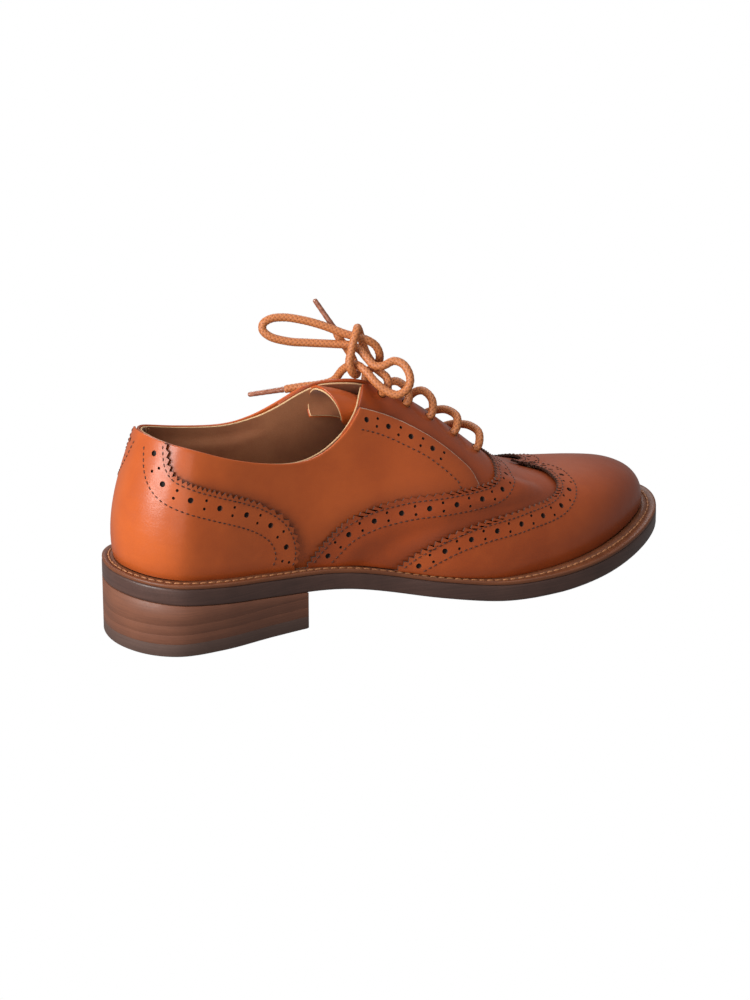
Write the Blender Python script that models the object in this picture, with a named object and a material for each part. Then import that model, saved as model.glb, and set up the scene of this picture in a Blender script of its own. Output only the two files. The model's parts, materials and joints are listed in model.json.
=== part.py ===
"""A woman's leather oxford shoe with wing-tip brogueing, for the right foot.

Every piece that a shoemaker cuts is its own closed solid: the stacked heel, the sole and what
lies under the foot, the linings and stiffeners, the upper's leathers, the tongue and the laces.

Lengths are in millimetres and are turned into metres as each mesh is made. +X runs to the toe,
+Y to the inner side of the foot and +Z up; z = 0 is the ground. The upper is drawn on the
surface of a last. A place on it is a station w, from 0 at the back seam to 1 at the toe, and a
rise t, from 0 at the feather line, where upper meets welt, to 1 at the ridge over the foot.
"""
import math

import bmesh
import bpy
import numpy as np

MM = 0.001
CENTRE_Y = 2.0               # moves the last so that the sole's width is centred on y = 0

# Driving dimensions of the bottom, mm
GAP = 0.1                    # between flat layers that lie on each other
OUTSOLE_THICK = 7.4
WELT_THICK = 1.6
WELT_WIDTH = 12.0
THREAD_SHARE = 0.25          # of the way from the sole's edge to the feather line
THREAD_WIDTH, THREAD_HIGH = 0.6, 0.3
INSOLE_THICK = 2.0
LINER_THICK = 0.9
FILLER_THICK = 1.4
TOP_PIECE_HIGH = 5.4
LIFT_HIGH = 3.9
BREAST_X = -58.5             # the heel's front face
SHANK_X = (-96.0, 4.0)
SHANK_WIDTH = 15.0
FILLER_X = (12.0, 118.0)
NAIL_AT = ((-116.0, 0.0), (-96.0, -15.0), (-96.0, 15.0), (-75.0, 0.0))
NAIL_RADIUS, NAIL_HOLE, NAIL_FOOT = 1.1, 1.4, 6.6

# Sole outline seen from above: round the back, up the outer side (-y), toe, and home
OUTLINE = ((-135, 0), (-130, -19), (-119, -29.5), (-99.5, -32), (-75, -29.5), (-49, -28.5),
           (-21, -32.5), (8, -41.5), (36, -47), (62, -47), (90, -40), (114, -27),
           (128.5, -12.5), (135, 5), (131.5, 20), (116, 33), (90, 41.5), (60, 43.5),
           (36, 40), (8, 32.5), (-22, 27), (-50, 28), (-77, 31), (-101, 32.5),
           (-120, 29.5), (-130, 19))
TOE_POINT = 13
# Height of the sole's underside along its length: heel pitch, flat tread, toe spring
UNDERSIDE = ((-136, 24), (-74, 17.3), (-40, 14), (0, 5.3), (30, 0.5), (42, 0), (56, 0),
             (80, 1.2), (110, 5), (136, 9.5))

# The last. Each rule runs along x: (x, value) pairs joined by a smooth curve.
FEATHER_INSET = ((-135, 6), (-120, 6.5), (-60, 5.5), (0, 3), (60, 9.5), (110, 9.5), (135, 7.8))
RIDGE_X = ((-129, -111), (-100, -95), (-60, -66), (-20, -30), (20, 6), (60, 42), (90, 62),
           (112, 71), (127, 75))
RIDGE_HIGH = ((-115, 116), (-90, 106), (-60, 97), (-30, 98), (-10, 93.5), (10, 81.5),
              (30, 66), (50, 49.5), (64, 42), (75, 38.5), (86, 37.2))
RIDGE_Y = ((-120, 0), (-60, 0), (0, 1.5), (40, 3.2), (75, 3.6))
RIDGE_SPREAD = ((-129, 0.64), (-100, 0.78), (-75, 0.86), (-50, 0.78), (-25, 0.42), (-5, 0.1),
                (15, 0), (135, 0))
WALL_RISE = ((-135, 30), (-60, 26), (0, 24), (60, 28), (100, 24), (131, 15))
WALL_BULGE = ((-135, 5.5), (-110, 4.5), (-60, 3.5), (0, 3), (60, 5), (131, 1.5))
CROWN_REACH = ((-135, 0.03), (-60, 0.16), (-20, 0.35), (20, 0.62), (60, 0.59), (131, 0.54))
CROWN_DROP = ((-135, 22), (-60, 21), (-20, 14), (20, 4), (60, 1), (131, -5.5))

# Leathers: inner and outer face, mm outside the last's surface
OVERLAY = (0.4, 1.5)
BASE = (-1.1, 0.0)
UNDER = (-2.6, -1.6)
LINING = (-4.0, -3.2)
LINING_AT_EDGE = (-2.3, -1.5)
PUFF = (-1.0, 0.0)
VAMP_LOW = (-1.4, -0.3)      # where the vamp runs under the toe cap and over the facings
BACK_SEAM = 0.0017           # station where each quarter stops short of the back seam
SEAM_GAP = 0.0036            # stations between two linings that meet edge to edge

# Lines drawn on the last as (station, rise), and what a unit of each measures in mm
DRAWN_SCALE = (330, 90)
TOPLINE_OUTER = ((0, 0.628), (0.08, 0.628), (0.16, 0.628), (0.27, 0.606), (0.31, 0.601),
                 (0.365, 0.601), (0.395, 0.622), (0.427, 0.68), (0.445, 0.735),
                 (0.461, 0.80), (0.478, 0.9), (0.487, 0.955))
TOPLINE_INNER = ((0, 0.628), (0.08, 0.622), (0.16, 0.621), (0.24, 0.631), (0.30, 0.655),
                 (0.335, 0.684), (0.365, 0.73), (0.40, 0.80), (0.427, 0.865),
                 (0.45, 0.91), (0.475, 0.94), (0.487, 0.955))
FOXING_EDGE = ((0.339, 0), (0.344, 0.07), (0.344, 0.15), (0.338, 0.235), (0.325, 0.31),
               (0.30, 0.372))
FOXING_NECK = ((0.09, 0.628), (0.095, 0.585), (0.105, 0.53), (0.125, 0.488), (0.17, 0.46),
               (0.22, 0.439), (0.265, 0.412), (0.30, 0.372))
VAMP_EDGE = ((0.353, 0), (0.375, 0.12), (0.405, 0.245), (0.44, 0.318), (0.481, 0.367),
             (0.52, 0.399), (0.56, 0.45), (0.585, 0.498), (0.608, 0.60), (0.63, 0.755),
             (0.646, 0.88), (0.664, 1))
VAMP_FRONT = ((0.487, 0), (0.52, 0.12), (0.565, 0.21), (0.62, 0.275), (0.68, 0.355),
              (0.735, 0.49), (0.765, 0.66), (0.79, 0.83), (0.795, 0.93), (0.775, 1))
CAP_EDGE = ((0.456, 0), (0.481, 0.116), (0.519, 0.221), (0.562, 0.293), (0.613, 0.354),
            (0.664, 0.433), (0.689, 0.498), (0.713, 0.592), (0.733, 0.70), (0.757, 0.81),
            (0.77, 0.90), (0.765, 0.965), (0.745, 1))
QUARTER_UNDER_VAMP = ((0.372, 0), (0.393, 0.10), (0.425, 0.225), (0.46, 0.29),
                      (0.50, 0.335), (0.54, 0.37), (0.569, 0.405))
QUARTER_EDGE_OUTER = ((0.569, 0.405), (0.568, 0.498), (0.565, 0.556), (0.54, 0.649),
                      (0.509, 0.708), (0.461, 0.80))
QUARTER_EDGE_INNER = ((0.569, 0.405), (0.568, 0.498), (0.565, 0.556), (0.54, 0.649),
                      (0.509, 0.722), (0.46, 0.83), (0.43, 0.872))
FACING_FOOT_OUTER = ((0.427, 0.68), (0.462, 0.636), (0.496, 0.568), (0.52, 0.506),
                     (0.535, 0.44), (0.542, 0.385))
FACING_FOOT_INNER = ((0.40, 0.80), (0.43, 0.752), (0.462, 0.68), (0.496, 0.58),
                     (0.52, 0.51), (0.535, 0.44), (0.542, 0.385))
FACING_FRONT = ((0.542, 0.385), (0.585, 0.43), (0.612, 0.50), (0.632, 0.60), (0.653, 0.76),
                (0.674, 0.93), (0.679, 0.985))
LACE_EDGE = ((0.487, 0.955), (0.52, 0.958), (0.56, 0.968), (0.60, 0.984), (0.679, 0.985))
LINING_SEAM = ((0.515, 0), (0.56, 0.25), (0.61, 0.5), (0.66, 0.75), (0.705, 0.985))
GRIP_SEAM = ((0.235, 0), (0.21, 0.25), (0.165, 0.5), (0.14, 0.628))
COUNTER_EDGE = ((0.30, 0), (0.295, 0.12), (0.27, 0.26))
COUNTER_TOP = ((0, 0.50), (0.06, 0.495), (0.13, 0.46), (0.21, 0.37), (0.27, 0.26))
PUFF_EDGE = ((0.70, 0), (0.735, 0.2), (0.785, 0.45), (0.815, 0.7), (0.825, 1))

# Lacing: five pairs of plain holes, from the top of the throat down
EYELETS = ((0.503, 0.885), (0.532, 0.865), (0.559, 0.845), (0.585, 0.812), (0.611, 0.778))
EYELET_RADIUS = 2.0
LINING_HOLE_RADIUS = 2.9
LACE_RADIUS = 1.5
LACE_SPACING = 3.4
RUN_SPACING = 2.8
AGLET_RADIUS, AGLET_LONG = 1.3, 15.5
CORD_GAP = 0.3

# Tongue: an arch that rises from the throat. Rules along x, as for the last.
TONGUE_X = (46.0, -36.0)
TONGUE_TOP = ((-36, 94.2), (-24, 90.4), (-12, 84.2), (0, 76.8), (20, 62.5), (46, 42))
TONGUE_HALF = ((-36, 10.6), (-12, 10.5), (0, 12), (20, 15), (46, 18))
TONGUE_FALL = ((-36, 16), (-24, 14), (-12, 13), (0, 13), (20, 10.5), (46, 7))
TONGUE_Y = ((-36, 1.6), (-24, 0), (-12, -1), (10, 0.3), (46, 1.5))
TONGUE_SLANT = 7.0           # how far the end's outer leg stops short of its inner one
TONGUE_THICK = 1.1
TONGUE_LINING_THICK = 0.8
TONGUE_GAP = 0.6

OUTER, INNER = -1, 1         # the two sides of the shoe: away from and towards the other foot


# ---------------------------------------------------------------- curves

def rule(pairs, x):
    """Smooth curve through (x, value) pairs, flat past the ends' slopes."""
    xs = np.array([p[0] for p in pairs], float)
    ys = np.array([p[1] for p in pairs], float)
    slopes = np.gradient(ys, xs)
    x = np.clip(np.asarray(x, float), xs[0], xs[-1])
    i = np.clip(np.searchsorted(xs, x, side="right") - 1, 0, len(xs) - 2)
    h = xs[i + 1] - xs[i]
    s = (x - xs[i]) / h
    return (ys[i] * (1 + 2 * s) * (1 - s) ** 2 + ys[i + 1] * s * s * (3 - 2 * s)
            + h * s * (1 - s) * (slopes[i] * (1 - s) - slopes[i + 1] * s))


def through(points, count):
    """Points of a smooth curve through a list of points, evenly spaced along it."""
    pts = np.array(points, float)
    knots = np.concatenate([[0], np.cumsum(np.linalg.norm(np.diff(pts, axis=0), axis=1) ** 0.5)])
    fine = np.linspace(0, knots[-1], 40 * len(pts))
    dense = np.stack([rule(list(zip(knots, pts[:, k])), fine) for k in range(pts.shape[1])], 1)
    return evenly(dense, count)


def evenly(dense, count, weights=None):
    """count + 1 points at equal steps along a finely sampled line."""
    scale = np.ones(dense.shape[1]) if weights is None else np.array(weights)
    run = np.concatenate([[0], np.cumsum(np.linalg.norm(np.diff(dense * scale, axis=0), axis=1))])
    at = np.linspace(0, run[-1], count + 1)
    return np.stack([np.interp(at, run, dense[:, k]) for k in range(dense.shape[1])], 1)


def underside(x):
    """Height of the sole's underside: never below the ground."""
    return np.maximum(rule(UNDERSIDE, x), 0.0)


def outline_at(u):
    """Point and outward direction on the sole's closed outline, for u from 0 to 1."""
    pts = np.array(OUTLINE, float)
    count = len(pts)
    step = np.linalg.norm(np.roll(pts, -1, 0) - pts, axis=1) ** 0.5
    knots = np.concatenate([[0], np.cumsum(step)]) / step.sum()
    step = np.diff(knots)
    ahead = (np.roll(pts, -1, 0) - pts) / step[:, None]
    behind, step_behind = np.roll(ahead, 1, 0), np.roll(step, 1)
    slopes = (behind * step[:, None] + ahead * step_behind[:, None]) / (step + step_behind)[:, None]
    u = np.mod(np.asarray(u, float), 1.0)
    i = np.clip(np.searchsorted(knots, u, side="right") - 1, 0, count - 1)
    j = (i + 1) % count
    s, h = ((u - knots[i]) / step[i])[..., None], step[i][..., None]
    point = (pts[i] * (1 + 2 * s) * (1 - s) ** 2 + pts[j] * s * s * (3 - 2 * s)
             + h * s * (1 - s) * (slopes[i] * (1 - s) - slopes[j] * s))
    along = ((pts[i] - pts[j]) * (6 * s * s - 6 * s) / h
             + slopes[i] * (1 - 4 * s + 3 * s * s) + slopes[j] * (3 * s * s - 2 * s))
    out = np.stack([along[..., 1], -along[..., 0]], -1)
    return point, out / np.linalg.norm(out, axis=-1, keepdims=True)


# ---------------------------------------------------------------- the last

def feather(u):
    point, out = outline_at(u)
    return point - out * rule(FEATHER_INSET, point[..., 0])[..., None], out, point[..., 0]


def station_tables():
    """For each side, matching lists of station w and outline parameter u."""
    u = np.linspace(0, 1, 4001)
    x = feather(u)[0][:, 0]
    back, toe = u[x.argmin()], u[x.argmax()]
    back -= round(back)
    tables = {}
    for side, start in ((OUTER, back), (INNER, back + 1)):
        us = np.linspace(start, toe, 4001)
        xs = feather(us)[0][:, 0]
        part = np.clip((xs - x.min()) / (x.max() - x.min()), 0, 1)
        w = np.maximum.accumulate(np.arccos(1 - 2 * part) / math.pi)
        w[0], w[-1] = 0, 1
        tables[side] = list(zip(w[::50], us[::50]))
    return tables


STATIONS = station_tables()


def last_point(side, w, t):
    """The last's surface: a cubic from the feather line up the wall and over to the ridge."""
    foot, out, x_edge = feather(rule(STATIONS[side], w))
    fx, fy = foot[..., 0], foot[..., 1]
    fz = underside(x_edge) + OUTSOLE_THICK + WELT_THICK + 4 * GAP
    tx = rule(RIDGE_X, fx)
    ty = rule(RIDGE_Y, tx) + fy * np.maximum(rule(RIDGE_SPREAD, fx), 0)
    tz = rule(RIDGE_HIGH, tx)
    reach = rule(CROWN_REACH, fx)
    lean = np.clip((fx + 20) / 60, 0, 1) * (rule(RIDGE_HIGH, tx + 1) - rule(RIDGE_HIGH, tx - 1)) / 2
    bulge = rule(WALL_BULGE, fx)
    p0 = np.stack([fx, fy, fz], -1)
    p1 = np.stack([fx + out[..., 0] * bulge, fy + out[..., 1] * bulge, fz + rule(WALL_RISE, fx)], -1)
    p2 = np.stack([tx + (fx - tx) * reach, ty + (fy - ty) * reach,
                   tz - rule(CROWN_DROP, fx) + lean * (fx - tx) * reach], -1)
    p3 = np.stack([tx, ty, tz], -1)
    t = np.asarray(t, float)[..., None]
    return p0 * (1 - t) ** 3 + 3 * p1 * t * (1 - t) ** 2 + 3 * p2 * t * t * (1 - t) + p3 * t ** 3


def last_normal(side, w, t, step=0.002):
    """Outward direction of the last's surface; level at the feather line."""
    t = np.clip(t, 0, 1 - 2 * step)

    def past_seams(w):
        other = (w < 0) | (w > 1)
        inside = np.where(w < 0, -w, np.where(w > 1, 2 - w, w))
        same, across = last_point(side, inside, t), last_point(-side, inside, t)
        return np.where(other[..., None], across, same)

    along = past_seams(w + step) - past_seams(w - step)
    up = last_point(side, w, t + step) - last_point(side, w, np.maximum(t - step, 0))
    normal = np.cross(along, up) * -side
    normal[..., 2] *= np.clip(t / 0.06, 0, 1)
    return normal / np.linalg.norm(normal, axis=-1, keepdims=True)


def on_last(side, w, t, off):
    """World points off millimetres outside the last; side 0 is a seam that both sides share."""
    w, t, off = np.broadcast_arrays(*(np.asarray(v, float) for v in (w, t, off)))
    if side:
        return last_point(side, w, t) + last_normal(side, w, t) * off[..., None]
    normal = last_normal(OUTER, w, t) + last_normal(INNER, w, t)
    normal /= np.linalg.norm(normal, axis=-1, keepdims=True)
    return last_point(OUTER, w, t) + normal * off[..., None]


# ---------------------------------------------------------------- meshes

def material(name, colour, roughness, metallic=0.0):
    mat = bpy.data.materials.new(name)
    mat.use_nodes = True
    shader = mat.node_tree.nodes["Principled BSDF"]
    shader.inputs["Base Color"].default_value = (*colour, 1)
    shader.inputs["Roughness"].default_value = roughness
    shader.inputs["Metallic"].default_value = metallic
    return mat


def add_object(name, data, mat):
    data.materials.append(mat)
    obj = bpy.data.objects.new(name, data)
    bpy.context.scene.collection.objects.link(obj)
    return obj


def solid(name, points, faces, mat, smooth_angle=40):
    """An object from points in mm and faces of one closed body, turned to face out."""
    mesh = bpy.data.meshes.new(name)
    world = (np.asarray(points, float) + (0, CENTRE_Y, 0)) * MM
    mesh.from_pydata([tuple(p) for p in world], [], [tuple(int(i) for i in f) for f in faces])
    bm = bmesh.new()
    bm.from_mesh(mesh)
    bmesh.ops.recalc_face_normals(bm, faces=bm.faces)
    bm.to_mesh(mesh)
    bm.free()
    mesh.shade_smooth()
    mesh.set_sharp_from_angle(angle=math.radians(smooth_angle))
    return add_object(name, mesh, mat)


def grid_faces(rows, columns, start=0, wrap=False):
    """Quads over a grid of rows by columns points, numbered along each row."""
    across = columns if wrap else columns - 1
    return [(start + i * columns + j, start + i * columns + (j + 1) % columns,
             start + (i + 1) * columns + (j + 1) % columns, start + (i + 1) * columns + j)
            for i in range(rows - 1) for j in range(across)]


def shell(name, outside, inside, faces, mat):
    """A solid between two skins that share their faces, closed by a rim round the open edge."""
    count = len(outside)
    used = {}
    for face in faces:
        for a, b in zip(face, face[1:] + face[:1]):
            used.setdefault(frozenset((a, b)), []).append((a, b))
    rim = [(b, a, a + count, b + count) for ways in used.values() if len(ways) == 1
           for a, b in ways]
    back = [tuple(i + count for i in reversed(face)) for face in faces]
    return solid(name, np.vstack([outside, inside]), list(faces) + back + rim, mat)


def progress(points):
    """How far along a drawn line each of its points is, from 0 to 1."""
    steps = np.linalg.norm(np.diff(points, axis=0) * DRAWN_SCALE, axis=1)
    return np.concatenate([[0], np.cumsum(steps)]) / steps.sum()


def patch(foot, top, back, front):
    """Grid of (w, t) between four lines that meet at their ends; rows run from foot to top."""
    s = ((progress(back) + progress(front)) / 2)[:, None, None]
    a = ((progress(foot) + progress(top)) / 2)[None, :, None]
    corners = ((1 - a) * (1 - s) * foot[0] + a * (1 - s) * foot[-1]
               + (1 - a) * s * top[0] + a * s * top[-1])
    return ((1 - a) * back[:, None] + a * front[:, None]
            + (1 - s) * foot[None] + s * top[None] - corners)


def leather(name, patches, levels, mat):
    """A piece of leather over one or both sides. levels gives (inner, outer) faces for w, t."""
    index, keys, faces = {}, [], []
    for side, grid in patches.items():
        rows, columns = grid.shape[:2]
        number = np.zeros((rows, columns), int)
        for i in range(rows):
            for j in range(columns):
                w, t = round(float(grid[i, j, 0]), 5), round(float(grid[i, j, 1]), 5)
                seam = len(patches) == 2 and (w <= 0 or w >= 1 or t >= 1)
                key = (0 if seam else side, min(max(w, 0), 1), min(max(t, 0), 1))
                number[i, j] = index.setdefault(key, len(index))
                if number[i, j] == len(keys):
                    keys.append(key)
        tip = index.get((0, 1, 1))
        for corners in grid_faces(rows, columns):
            quad = [number.flat[k] for k in corners][::-side]
            if tip in quad:
                quad = quad[quad.index(tip):] + quad[:quad.index(tip)]
                faces += [tuple(quad[:3]), (quad[0], quad[2], quad[3])]
            else:
                faces.append(tuple(quad))
    skins = []
    for face in (1, 0):
        skin = np.zeros((len(keys), 3))
        for side in {key[0] for key in keys}:
            rows = [n for n, key in enumerate(keys) if key[0] == side]
            w = np.array([keys[n][1] for n in rows])
            t = np.array([keys[n][2] for n in rows])
            skin[rows] = on_last(side, w, t, levels(side, w, t)[face])
        skins.append(skin)
    return shell(name, skins[0], skins[1], faces, mat)


def flat(pair):
    """Levels that are the same everywhere."""
    return lambda side, w, t: (np.full_like(w, pair[0]), np.full_like(w, pair[1]))


def ease(low, high, x):
    s = np.clip((x - low) / (high - low), 0, 1)
    return s * s * (3 - 2 * s)


def line(points, steps):
    """A drawn line on the last at even steps, measured roughly in mm of leather."""
    dense = through(points, 400)
    return evenly(dense, steps, DRAWN_SCALE)


def topline(side):
    return TOPLINE_OUTER if side == OUTER else TOPLINE_INNER


def topline_part(side, low, high, steps):
    """The stretch of the topline between two stations."""
    dense = through(topline(side), 600)
    w = np.linspace(low, high, 200)
    part = np.stack([w, np.interp(w, dense[:, 0], dense[:, 1])], 1)
    return evenly(part, steps, DRAWN_SCALE)


def straight(start, end, steps):
    return np.linspace(start, end, steps + 1)


# ---------------------------------------------------------------- the bottom

def half_widths(inset, xs):
    """y of the outer and inner sides of the sole's outline, set in by inset, at each x."""
    point, out = outline_at(np.linspace(0, 1, 2401))
    edge = point - out * inset
    return split_sides(edge, xs)


def split_sides(edge, xs):
    back, toe = edge[:, 0].argmin(), edge[:, 0].argmax()
    lower = edge[back:toe + 1]
    upper = np.vstack([edge[toe:], edge[:back + 1]])[::-1]
    return np.interp(xs, lower[:, 0], lower[:, 1]), np.interp(xs, upper[:, 0], upper[:, 1])


def sole_stations(low, high, count, round_back=True, round_front=True):
    """x positions of the ribs of a sole layer, closer together where an end is round."""
    a = np.linspace(0 if round_back else math.pi / 2, math.pi if round_front else math.pi / 2,
                    count + 1)
    if round_back and round_front:
        return low + (high - low) * (1 - np.cos(a)) / 2
    if round_back:
        return low + (high - low) * (1 - np.cos(a))
    return np.linspace(low, high, count + 1)


def layer(name, xs, sides, low, high, mat):
    """A sole layer: ribs at xs, each a rectangle between two sides and two heights."""
    rings = np.stack([np.stack([xs, sides[0], low], 1), np.stack([xs, sides[1], low], 1),
                      np.stack([xs, sides[1], high], 1), np.stack([xs, sides[0], high], 1)], 1)
    points = rings.reshape(-1, 3)
    faces = grid_faces(len(xs), 4, wrap=True)
    last = 4 * (len(xs) - 1)
    faces += [(3, 2, 1, 0), (last, last + 1, last + 2, last + 3)]
    return solid(name, points, faces, mat, smooth_angle=50)


def rounded_layer(name, xs, edge, low, high, mat):
    """A layer whose outline is a closed curve; its two end points are drawn apart a little."""
    a, b = split_sides(edge, xs)
    tight = b - a < 1
    middle = (a + b) / 2
    a, b = np.where(tight, middle - 0.5, a), np.where(tight, middle + 0.5, b)
    return layer(name, xs, (a, b), low, high, mat)


def offset_outline(inset):
    point, out = outline_at(np.linspace(0, 1, 2401))
    return point - out * inset


def feather_outline(off):
    """Outline at the feather line, off millimetres outside the last."""
    w = np.linspace(0, 1, 600)
    outer = on_last(OUTER, w, np.zeros_like(w), off)[:, :2]
    inner = on_last(INNER, w, np.zeros_like(w), off)[:, :2]
    return np.vstack([outer, inner[::-1]])


def ring(name, insets, low, high, mat, count=88):
    """A band that follows the outline between two insets, resting on the outsole."""
    point, out = outline_at(np.arange(count) / count)
    edge, hem = (point - out * inset(point[:, 0])[:, None] for inset in insets)
    rows = []
    for side, z in ((edge, low), (edge, high), (hem, high), (hem, low)):
        rows.append(np.column_stack([side, underside(side[:, 0]) + z]))
    points = np.concatenate(rows + rows[:1])[:4 * count]
    faces = grid_faces(4, count, wrap=True)
    faces += [(3 * count + j, 3 * count + (j + 1) % count, (j + 1) % count, j)
              for j in range(count)]
    return solid(name, points, faces, mat)


def post(name, x, y, low, high, radius, mat, sides=12):
    """An upright round pin."""
    turn = np.linspace(0, 2 * math.pi, sides, endpoint=False)
    round_ = np.stack([x + radius * np.cos(turn), y + radius * np.sin(turn)], 1)
    points = np.vstack([np.column_stack([round_, np.full(sides, z)]) for z in (low, high)])
    faces = grid_faces(2, sides, wrap=True)
    faces += [tuple(range(sides - 1, -1, -1)), tuple(range(sides, 2 * sides))]
    return solid(name, points, faces, mat)


def cutter_for(target, cutter, solver="EXACT"):
    """Subtract the cutter and keep it out of the model."""
    cutter.hide_render = True
    cutter.display_type = "WIRE"
    cut = target.modifiers.new("holes", "BOOLEAN")
    cut.operation = "DIFFERENCE"
    cut.solver = solver
    cut.object = cutter


def make_bottom(mats):
    edge = offset_outline(0)
    x_low, x_high = edge[:, 0].min(), edge[:, 0].max()
    full = sole_stations(x_low, x_high, 48)
    under = underside(full)
    outsole = rounded_layer("outsole", full, edge, under, under + OUTSOLE_THICK, mats["sole"])

    heel_x = sole_stations(x_low, BREAST_X, 16, round_front=False)
    heights = [0, TOP_PIECE_HIGH]
    for _ in range(2):
        heights += [heights[-1] + GAP, heights[-1] + GAP + LIFT_HIGH]
    names = ("heel_top_piece", "heel_lift_lower", "heel_lift_upper")
    lifts = []
    for n, name in enumerate(names):
        low, high = (np.full_like(heel_x, z) for z in heights[2 * n:2 * n + 2])
        lifts.append(rounded_layer(name, heel_x, edge, low, high,
                                   mats["rubber" if n == 0 else "lift"]))
    low = np.full_like(heel_x, heights[-1] + GAP)
    lifts.append(rounded_layer("heel_seat_lift", heel_x, edge, low, underside(heel_x) - GAP,
                               mats["lift"]))
    for n, (x, y) in enumerate(NAIL_AT):
        top = float(underside(x)) + OUTSOLE_THICK
        post(f"heel_nail_{n + 1}", x, y, NAIL_FOOT, top - GAP, NAIL_RADIUS, mats["steel"])
        hole = post(f"nail_hole_{n + 1}", x, y, NAIL_FOOT - CORD_GAP, top + 2, NAIL_HOLE,
                    mats["steel"])
        for target in [outsole] + lifts[1:]:
            cutter_for(target, hole)

    base = OUTSOLE_THICK + GAP
    ring("welt", (lambda x: 0 * x, lambda x: 0 * x + WELT_WIDTH), base, base + WELT_THICK,
         mats["welt"])
    low = base + WELT_THICK + GAP / 2
    ring("welt_thread", (lambda x: THREAD_SHARE * rule(FEATHER_INSET, x),
                         lambda x: THREAD_SHARE * rule(FEATHER_INSET, x) + THREAD_WIDTH),
         low, low + THREAD_HIGH, mats["thread"])

    xs = np.linspace(*SHANK_X, 13)
    middle = sum(half_widths(0, xs)) / 2
    layer("shank", xs, (middle - SHANK_WIDTH / 2, middle + SHANK_WIDTH / 2),
          underside(xs) + base, underside(xs) + base + FILLER_THICK, mats["steel"])
    inner = offset_outline(WELT_WIDTH + 1)
    xs = FILLER_X[0] + (FILLER_X[1] - FILLER_X[0]) * np.sin(np.linspace(0, math.pi / 2, 13))
    rounded_layer("bottom_filler", xs, inner, underside(xs) + base,
                  underside(xs) + base + FILLER_THICK, mats["cork"])

    board = feather_outline(LINING[0] - 0.5)
    xs = sole_stations(board[:, 0].min(), board[:, 0].max(), 40)
    low = underside(xs) + base + WELT_THICK + 2 * GAP
    rounded_layer("insole_board", xs, board, low, low + INSOLE_THICK, mats["board"])
    low = low + INSOLE_THICK + GAP
    rounded_layer("sock_liner", xs, board, low, low + LINER_THICK, mats["lining"])


# ---------------------------------------------------------------- the upper

def lining_levels(side, w, t):
    """The lining lies against the leather, and steps in where a stiffener or facing is between."""
    dense = through(topline(side or OUTER), 600)
    below = np.interp(w, dense[:, 0], dense[:, 1]) - t
    deep = np.maximum(ease(0.05, 0.12, below), ease(0.34, 0.40, w)) * (1 - ease(0.70, 0.78, w))
    return tuple(LINING_AT_EDGE[n] + deep * (LINING[n] - LINING_AT_EDGE[n]) for n in (0, 1))


def vamp_levels(side, w, t):
    """On top of the quarter at the back, down to the last's surface under the toe cap."""
    edge = through(VAMP_EDGE, 400)
    front = through(VAMP_FRONT, 400)
    start, end = np.interp(t, edge[:, 1], edge[:, 0]), np.interp(t, front[:, 1], front[:, 0])
    part = (w - start) / np.maximum(end - start, 0.01)
    lift = (1 - ease(0.27, 0.56, part)) * (1 - ease(0.52, 0.64, t))
    return tuple(VAMP_LOW[n] + lift * (OVERLAY[n] - VAMP_LOW[n]) for n in (0, 1))


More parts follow.
